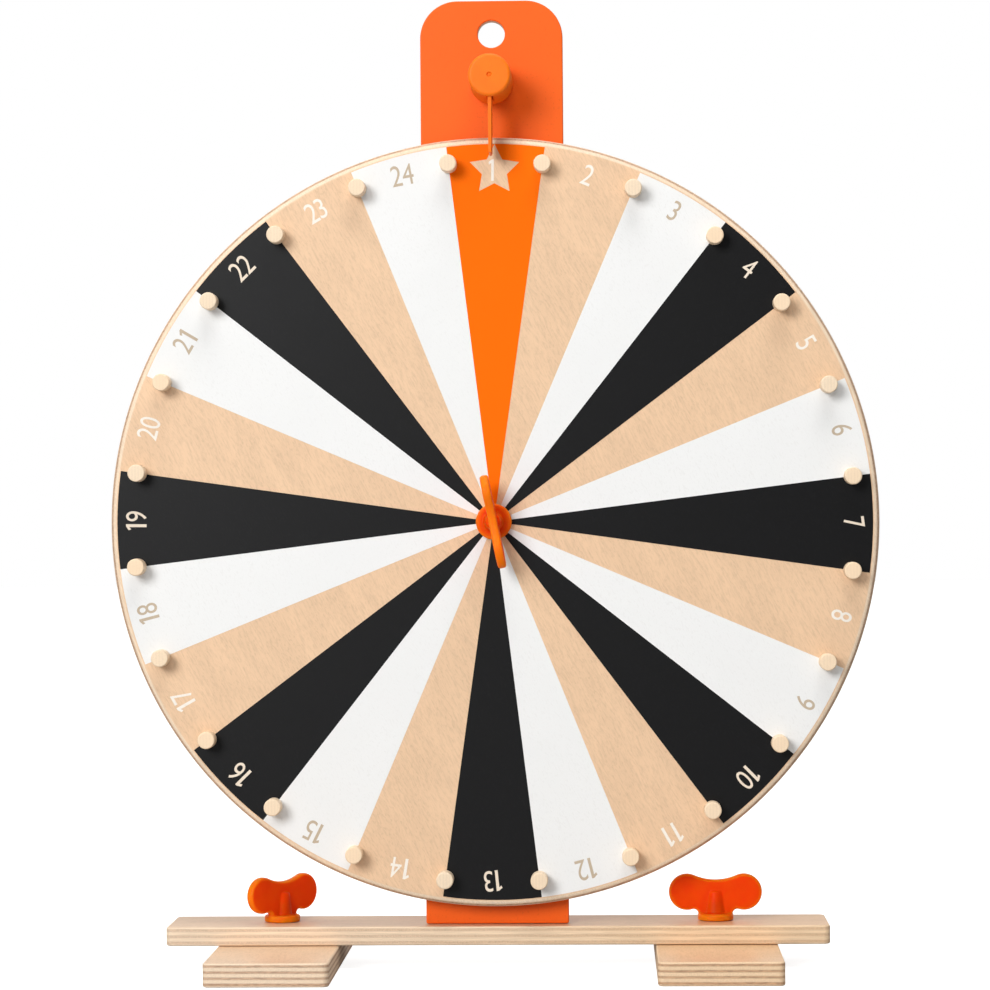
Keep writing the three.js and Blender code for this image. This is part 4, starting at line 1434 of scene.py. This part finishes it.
class SPINNER_OT_screws(Operator):
    """Adds the screws up into the board and the screws from behind into the pointer bar"""

    bl_idname = "spinner.screws"
    bl_label = "Screws"

    def execute(self, context):
        sizes = context.scene.spinner_hardware
        steel = zinc_steel(context.scene.spinner_colours)
        head = sizes.screw_head
        sunk_head = [
            (0, 0), (head - 0.1 * MM, 0), (head, 0.15 * MM), (head, 0.4 * MM),
            (sizes.screw, 2.4 * MM), (sizes.screw, 3 * MM), (0, 3 * MM),
        ]
        # The two sunk flush in the plank's underside, points up.
        for side in ("left", "right"):
            name = "base_screw_" + side
            low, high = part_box(name)
            recess = upside_down(cross_recess(4.4 * MM, 1.0 * MM, 1.3 * MM, 0.3 * MM))
            screw = wood_screw(name, sunk_head, high.z - low.z, sizes, recess)
            centre = middle(low, high)
            placed(screw, FLAT, (centre.x, centre.y, low.z))
            finished(screw, steel, "stand", "zinc_steel", name)

        # The two in the board's back, whose domed heads stand off it by pan.
        turn = np.linspace(0, 1, 9) * math.pi / 2
        pan = 2.4 * MM
        dome = np.stack([head * np.sin(turn) ** 0.8, -pan * np.cos(turn) ** 0.7], -1)
        pan_head = [*dome.tolist(), (sizes.screw, 0), (sizes.screw, MM), (0, MM)]
        for place in ("upper", "lower"):
            name = "pointer_screw_" + place
            low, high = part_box(name)
            recess = upside_down(cross_recess(4.2 * MM, 1.0 * MM, 1.4 * MM, 0.3 * MM))
            recess = moved(recess, z=-pan)
            screw = wood_screw(name, pan_head, high.y - low.y - pan, sizes, recess)
            centre = middle(low, high)
            placed(screw, FACING_PLAYER, (centre.x, high.y - pan, centre.z))
            finished(screw, steel, "stand", "zinc_steel", name)
        return {"FINISHED"}


def upside_down(shell):
    """The shell with its heights the other way up. Its faces are put right when it is made a piece."""
    return shell[0] * np.array([1, 1, -1]), shell[1]


# ---------------------------------------------------------------- wing nuts

# The wing, seen flat: two round lobes, a dip between them, and a neck that each lobe's fillet runs into.
LOBE_X, LOBE_Z, LOBE_RADIUS = 16.8 * MM, 16.5 * MM, 10.7 * MM
DIP_Z = 23.7 * MM
NECK_HALF, NECK_FOOT, NECK_FILLET = 10.1 * MM, 1.0 * MM, 2.8 * MM
WING_THICK, WING_EDGE = 5.0 * MM, 1.6 * MM
# The flange that clamps, and the tapered boss that stands on it.
FLANGE_RADIUS, FLANGE_HIGH = 10.5 * MM, 3.8 * MM
BOSS_BASE, BOSS_TOP, BOSS_HIGH = 5.4 * MM, 4.25 * MM, 17.2 * MM
BORE_DEEP = 10 * MM


def wing_outline():
    """Outline of the wing seen flat, from its foot up round one lobe, over the dip and down the other.

    Each lobe is an arc, joined to the neck by a hollow arc and to its twin by a wide hollow arc whose
    radius is (lobe x squared + rise squared - lobe radius squared) / 2 (lobe radius - rise), where rise
    is how far the dip lies above the lobes' middles.
    """
    fillet_x = NECK_HALF + NECK_FILLET
    drop = math.sqrt((LOBE_RADIUS + NECK_FILLET) ** 2 - (LOBE_X - fillet_x) ** 2)
    fillet_z = LOBE_Z - drop
    fillet_end = math.atan2(drop, LOBE_X - fillet_x)
    rise = DIP_Z - LOBE_Z
    dip = (LOBE_X**2 + rise**2 - LOBE_RADIUS**2) / (2 * (LOBE_RADIUS - rise))
    dip_centre = DIP_Z + dip
    lobe_end = math.atan2(dip_centre - LOBE_Z, -LOBE_X)
    half = np.concatenate([
        [(NECK_HALF, NECK_FOOT)],
        arc((fillet_x, fillet_z), NECK_FILLET, math.pi, fillet_end, 12),
        arc((LOBE_X, LOBE_Z), LOBE_RADIUS, fillet_end - math.pi, lobe_end, 48)[1:],
        arc((0, dip_centre), dip, lobe_end - math.pi, -math.pi / 2, 12)[1:],
    ])
    other = half[:-1][::-1] * np.array([-1, 1])
    return np.concatenate([half, other])


def wing_nut_mesh(sizes):
    """Wing, boss and flange run together in one moulding, with soft inside corners and a blind bore."""
    points, faces = moved(slab(wing_outline(), WING_THICK, WING_EDGE, 8), z=-WING_THICK / 2)
    wing = raw_piece("wing", (points @ FACING_PLAYER, faces))
    boss_foot = BOSS_BASE + 0.3 * MM
    corners = [
        (0, 0), (FLANGE_RADIUS, 0), (FLANGE_RADIUS, FLANGE_HIGH),
        (boss_foot, FLANGE_HIGH), (BOSS_TOP, BOSS_HIGH), (0, BOSS_HIGH),
    ]
    rounding = np.array([0, 0.4, 1.0, 1.1, 1.4, 0]) * MM
    moulding = raw_piece("wing_nut", lathe(softened(corners, rounding, 8), 96))
    combined(moulding, [wing], "UNION")
    carved(moulding, blind(sizes.thread + 0.3 * MM, -MM, BORE_DEEP))
    voxel = moulding.modifiers.new("One skin", "REMESH")
    voxel.mode = "VOXEL"
    voxel.voxel_size = 0.3 * MM
    smooth = moulding.modifiers.new("Soft corners", "SMOOTH")
    smooth.factor = 0.5
    smooth.iterations = 10
    bake_modifiers(moulding)
    note_thin_edges(moulding.data)
    return moulding


def note_thin_edges(mesh):
    """Notes how deep each point lies inside the wing's outline, 0 at the outline.

    On the flange the depth is 0.5 mm at its rim, and grows at 0.4 of the way in from it. The depth places the
    wing nuts' painted glow.
    """
    flange_top = 4.5 * MM
    points = np.empty(len(mesh.vertices) * 3)
    mesh.vertices.foreach_get("co", points)
    points = points.reshape(-1, 3)
    outline = wing_outline()
    start, end = outline, np.roll(outline, -1, 0)
    side = end - start
    flat = points[:, None, [0, 2]]
    along = ((flat - start) * side).sum(2) / (side**2).sum(1)
    nearest = start + np.clip(along, 0, 1)[:, :, None] * side
    inside_wing = np.linalg.norm(flat - nearest, axis=2).min(1)
    inside_flange = 0.5 * MM + 0.4 * (FLANGE_RADIUS - np.hypot(points[:, 0], points[:, 1]))
    depth = np.where(points[:, 2] > flange_top, inside_wing, inside_flange)
    note = mesh.attributes.new(THIN_EDGE, "FLOAT", "POINT")
    note.data.foreach_set("value", depth)


class SPINNER_OT_wing_nuts(Operator):
    """Adds the wing nut at the wheel's centre and the two wing knobs on the plank"""

    bl_idname = "spinner.wing_nuts"
    bl_label = "Wing nuts"

    def execute(self, context):
        sizes = context.scene.spinner_hardware
        plastic = wing_plastic(context.scene.spinner_colours)
        pattern = wing_nut_mesh(sizes)
        nuts = (
            ("centre_wing_nut", "centre_nut", sizes.centre_wing, FACING_PLAYER),
            ("wing_knob_left", "left_knob", sizes.left_wing, FLAT),
            ("wing_knob_right", "right_knob", sizes.right_wing, FLAT),
        )
        for name, body, turn, axes in nuts:
            nut = bpy.data.objects.new(name, pattern.data.copy())
            bpy.context.scene.collection.objects.link(nut)
            low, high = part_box(name)
            centre = middle(low, high)
            if axes is FLAT:
                seat = (centre.x, centre.y, low.z)
            else:
                seat = (centre.x, high.y, centre.z)
            cosine, sine = math.cos(turn), math.sin(turn)
            spin = np.array([[cosine, sine, 0], [-sine, cosine, 0], [0, 0, 1]])
            placed(nut, spin @ axes, seat)
            finished(nut, plastic, body, "red_plastic", name, flat_faces=False)
        bpy.data.meshes.remove(pattern.data)
        return {"FINISHED"}


# ---------------------------------------------------------------- pointer


class SPINNER_OT_pointer(Operator):
    """Adds the round pointer bar and the thin leaf that hangs from it"""

    bl_idname = "spinner.pointer"
    bl_label = "Pointer"

    def execute(self, context):
        sizes = context.scene.spinner_hardware
        plastic = pointer_plastic(context.scene.spinner_colours)
        low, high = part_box("pointer_knob")
        leaf_low, leaf_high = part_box("pointer_leaf")
        centre = middle(low, high)
        radius = (high.x - low.x) / 2
        long = high.y - low.y
        dimple_floor, pip_top = long - 0.9 * MM, long - 0.45 * MM
        corners = [
            (0, 0), (radius, 0), (radius, long), (1.5 * MM, long), (1.1 * MM, dimple_floor),
            (0.65 * MM, dimple_floor), (0.45 * MM, pip_top), (0, pip_top),
        ]
        rounding = np.array([0, 0.5, sizes.knob_round / MM, 0.25, 0.15, 0.1, 0.15, 0]) * MM
        bar = raw_piece("pointer_knob", lathe(softened(corners, rounding, 8), 96))
        half = (leaf_high.x - leaf_low.x) / 2
        gap = 0.3 * MM
        pocket = leaf_pocket(half + gap, high.y - leaf_high.y - gap, high.y - leaf_low.y + gap)
        carved(bar, moved(pocket, y=leaf_high.z - half - centre.z))
        placed(bar, FACING_PLAYER, (centre.x, high.y, centre.z))
        finished(bar, plastic, "stand", "orange_plastic", "pointer_knob")

        # The leaf narrows from its round top to its tip, whose two corners are eased.
        tall = leaf_high.z - leaf_low.z - half
        tip = 0.8 * half
        top = arc((0, 0), half, 0, math.pi, 16)
        foot = softened(rectangle(2 * tip, 2 * tall), [0.6 * MM, 0.6 * MM, 0, 0], 6)
        foot = foot[foot[:, 1] < -tall / 2]
        outline = np.concatenate([foot, top])
        depth = leaf_high.y - leaf_low.y
        leaf = raw_piece("pointer_leaf", slab(outline, depth, 0.3 * MM))
        placed(leaf, FACING_PLAYER, (0, leaf_high.y, leaf_low.z + tall))
        finished(leaf, plastic, "leaf", "orange_plastic", "pointer_leaf")
        return {"FINISHED"}


def leaf_pocket(half, low, high):
    """Cutter for the slot under the bar: round at its top and opening out by the leaf's swing each way."""
    swing = math.radians(26)  # a degree more than the leaf's limit
    reach = 8 * MM
    top = arc((0, 0), half, swing, math.pi - swing, 16)
    left = (-half * math.cos(swing) - reach * math.sin(swing), -reach * math.cos(swing))
    outline = np.concatenate([top, [left, (-left[0], left[1])]])
    return prism(outline, low, high)


# ---------------------------------------------------------------- stage

KEY_PLACE = (-1.90, -3.72, 1.72)
TOP_PLACE, TOP_AIM = (0.2, -0.7, 2.6), (0, 0, 0.1)
TABLE_RINGS = (0.0, 0.5, 1.5, 4.0, 12.0)  # metres from the middle
TABLE_DARK, TABLE_LIGHT = 0.44, 0.47


def aimed(place, target):
    """Rotation that points an object's -Z from place at target."""
    return (Vector(target) - Vector(place)).to_track_quat("-Z", "Y").to_euler()


def add_lamp(name, place, target, size, power):
    """Square soft white lamp."""
    data = bpy.data.lights.new(name, "AREA")
    data.shape = "SQUARE"
    data.size = size
    data.energy = power
    lamp = bpy.data.objects.new(name, data)
    lamp.location = place
    lamp.rotation_euler = aimed(place, target)
    bpy.context.scene.collection.objects.link(lamp)


def white_room(fill, backdrop):
    """World that is pure white to the camera. As light it is bright behind the object and dim in front."""
    world = bpy.data.worlds.new("White room")
    bpy.context.scene.world = world
    world.use_nodes = True
    tree = world.node_tree
    background = tree.nodes["Background"]
    background.inputs["Color"].default_value = (1, 1, 1, 1)
    towards = tree.nodes.new("ShaderNodeTexCoord").outputs["Generated"]
    light = remap(tree, split(tree, towards)[1], 0.1, 0.65, fill, backdrop)
    seen = node(tree, "ShaderNodeLightPath").outputs["Is Camera Ray"]
    tree.links.new(mixed_value(tree, seen, light, 1.0), background.inputs["Strength"])


def floor_material(glow):
    """Pale table top, matt and faintly uneven, that the camera sees lit up to white away from the middle."""
    material, tree, surface = new_material("White table", Roughness=0.8, Specular_IOR_Level=0.1)
    place = place_of(tree)
    mottle = use_group(tree, shared("Surface mottle"), {"Vector": place, "Broad Size": 0.4})
    tone = mixed(tree, mottle["Broad"], flat_colour([TABLE_DARK] * 3), flat_colour([TABLE_LIGHT] * 3))
    feed(tree, surface, "Base Color", tone)
    away = node(tree, "ShaderNodeVectorMath", {0: place}, operation="LENGTH").outputs["Value"]
    seen = node(tree, "ShaderNodeLightPath").outputs["Is Camera Ray"]
    level = calc(tree, "MULTIPLY", seen, remap(tree, away, 0.3, 1.2, glow, 1.0))
    surface.inputs["Emission Color"].default_value = (1, 1, 1, 1)
    feed(tree, surface, "Emission Strength", level)
    return material


class SPINNER_OT_stage(Operator):
    """Adds the camera, the lamps, the white room and the white table"""

    bl_idname = "spinner.stage"
    bl_label = "Stage"

    def execute(self, context):
        sizes = context.scene.spinner_stage
        scene = context.scene
        scene.view_settings.view_transform = "Standard"
        wheel_low, wheel_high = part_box("wheel_disc")
        data = bpy.data.cameras.new("Camera")
        data.lens = sizes.lens
        data.sensor_width = 36
        data.clip_end = 60
        camera = bpy.data.objects.new("Camera", data)
        camera.location = (sizes.camera_x, wheel_low.y - sizes.distance, sizes.camera_z)
        aim = Euler((math.pi / 2 + sizes.tilt, 0, sizes.pan)).to_matrix()
        camera.rotation_euler = (aim @ Matrix.Rotation(-sizes.roll, 3, "Z")).to_euler()
        scene.collection.objects.link(camera)
        scene.camera = camera

        target = (0, 0, middle(wheel_low, wheel_high).z)
        add_lamp("Key", KEY_PLACE, target, sizes.key_size, sizes.key_power)
        add_lamp("Top", TOP_PLACE, TOP_AIM, sizes.top_size, sizes.top_power)
        white_room(sizes.fill, sizes.backdrop)

        # A flat disc: one circle carried out through the rings. Its last face would close it underneath.
        rings = np.array(TABLE_RINGS)[:, None, None] * circle(1.0, 64)
        level = np.zeros(rings.shape[:2] + (1,))
        points, faces = skin(np.concatenate([rings, level], -1))
        table = raw_piece("table", (points, faces[:-1]))
        table.data.materials.append(floor_material(sizes.floor_glow))
        return {"FINISHED"}


# ---------------------------------------------------------------- add-on


OPERATORS = (
    SPINNER_OT_stage,
    SPINNER_OT_feet,
    SPINNER_OT_plank,
    SPINNER_OT_upright,
    SPINNER_OT_wheel,
    SPINNER_OT_print,
    SPINNER_OT_pegs,
    SPINNER_OT_hub,
    SPINNER_OT_studs,
    SPINNER_OT_screws,
    SPINNER_OT_wing_nuts,
    SPINNER_OT_pointer,
)
GROUPS = (
    (StandSizes, "spinner_stand", "Stand"),
    (WheelSizes, "spinner_wheel", "Wheel"),
    (PrintSizes, "spinner_print", "Print"),
    (HardwareSizes, "spinner_hardware", "Hardware and pointer"),
    (FinishColours, "spinner_colours", "Colours"),
    (StageSizes, "spinner_stage", "Stage"),
)


class SPINNER_PT_panel(Panel):
    """Lists the prize wheel's pieces"""

    bl_label = "Prize Wheel"
    bl_idname = "SPINNER_PT_panel"
    bl_space_type = "VIEW_3D"
    bl_region_type = "UI"
    bl_category = "Prize Wheel"

    def draw(self, context):
        layout = self.layout
        for operator in OPERATORS:
            layout.operator(operator.bl_idname)
        for group, name, title in GROUPS:
            box = layout.box()
            box.label(text=title)
            settings = getattr(context.scene, name)
            for field in group.__annotations__:
                box.prop(settings, field)


def register():
    """Registers the settings, the operators and the panel."""
    for group, name, title in GROUPS:
        bpy.utils.register_class(group)
        setattr(bpy.types.Scene, name, PointerProperty(type=group, name=title))
    for operator in OPERATORS:
        bpy.utils.register_class(operator)
    bpy.utils.register_class(SPINNER_PT_panel)


def unregister():
    """Takes away what register added."""
    bpy.utils.unregister_class(SPINNER_PT_panel)
    for operator in reversed(OPERATORS):
        bpy.utils.unregister_class(operator)
    for group, name, title in reversed(GROUPS):
        delattr(bpy.types.Scene, name)
        bpy.utils.unregister_class(group)


def main():
    """Builds the whole scene."""
    register()
    bpy.ops.spinner.stage()
    bpy.ops.spinner.feet()
    bpy.ops.spinner.plank()
    bpy.ops.spinner.upright()
    bpy.ops.spinner.wheel()
    bpy.ops.spinner.print()
    bpy.ops.spinner.pegs()
    bpy.ops.spinner.hub()
    bpy.ops.spinner.studs()
    bpy.ops.spinner.screws()
    bpy.ops.spinner.wing_nuts()
    bpy.ops.spinner.pointer()


if __name__ == "__main__":
    main()
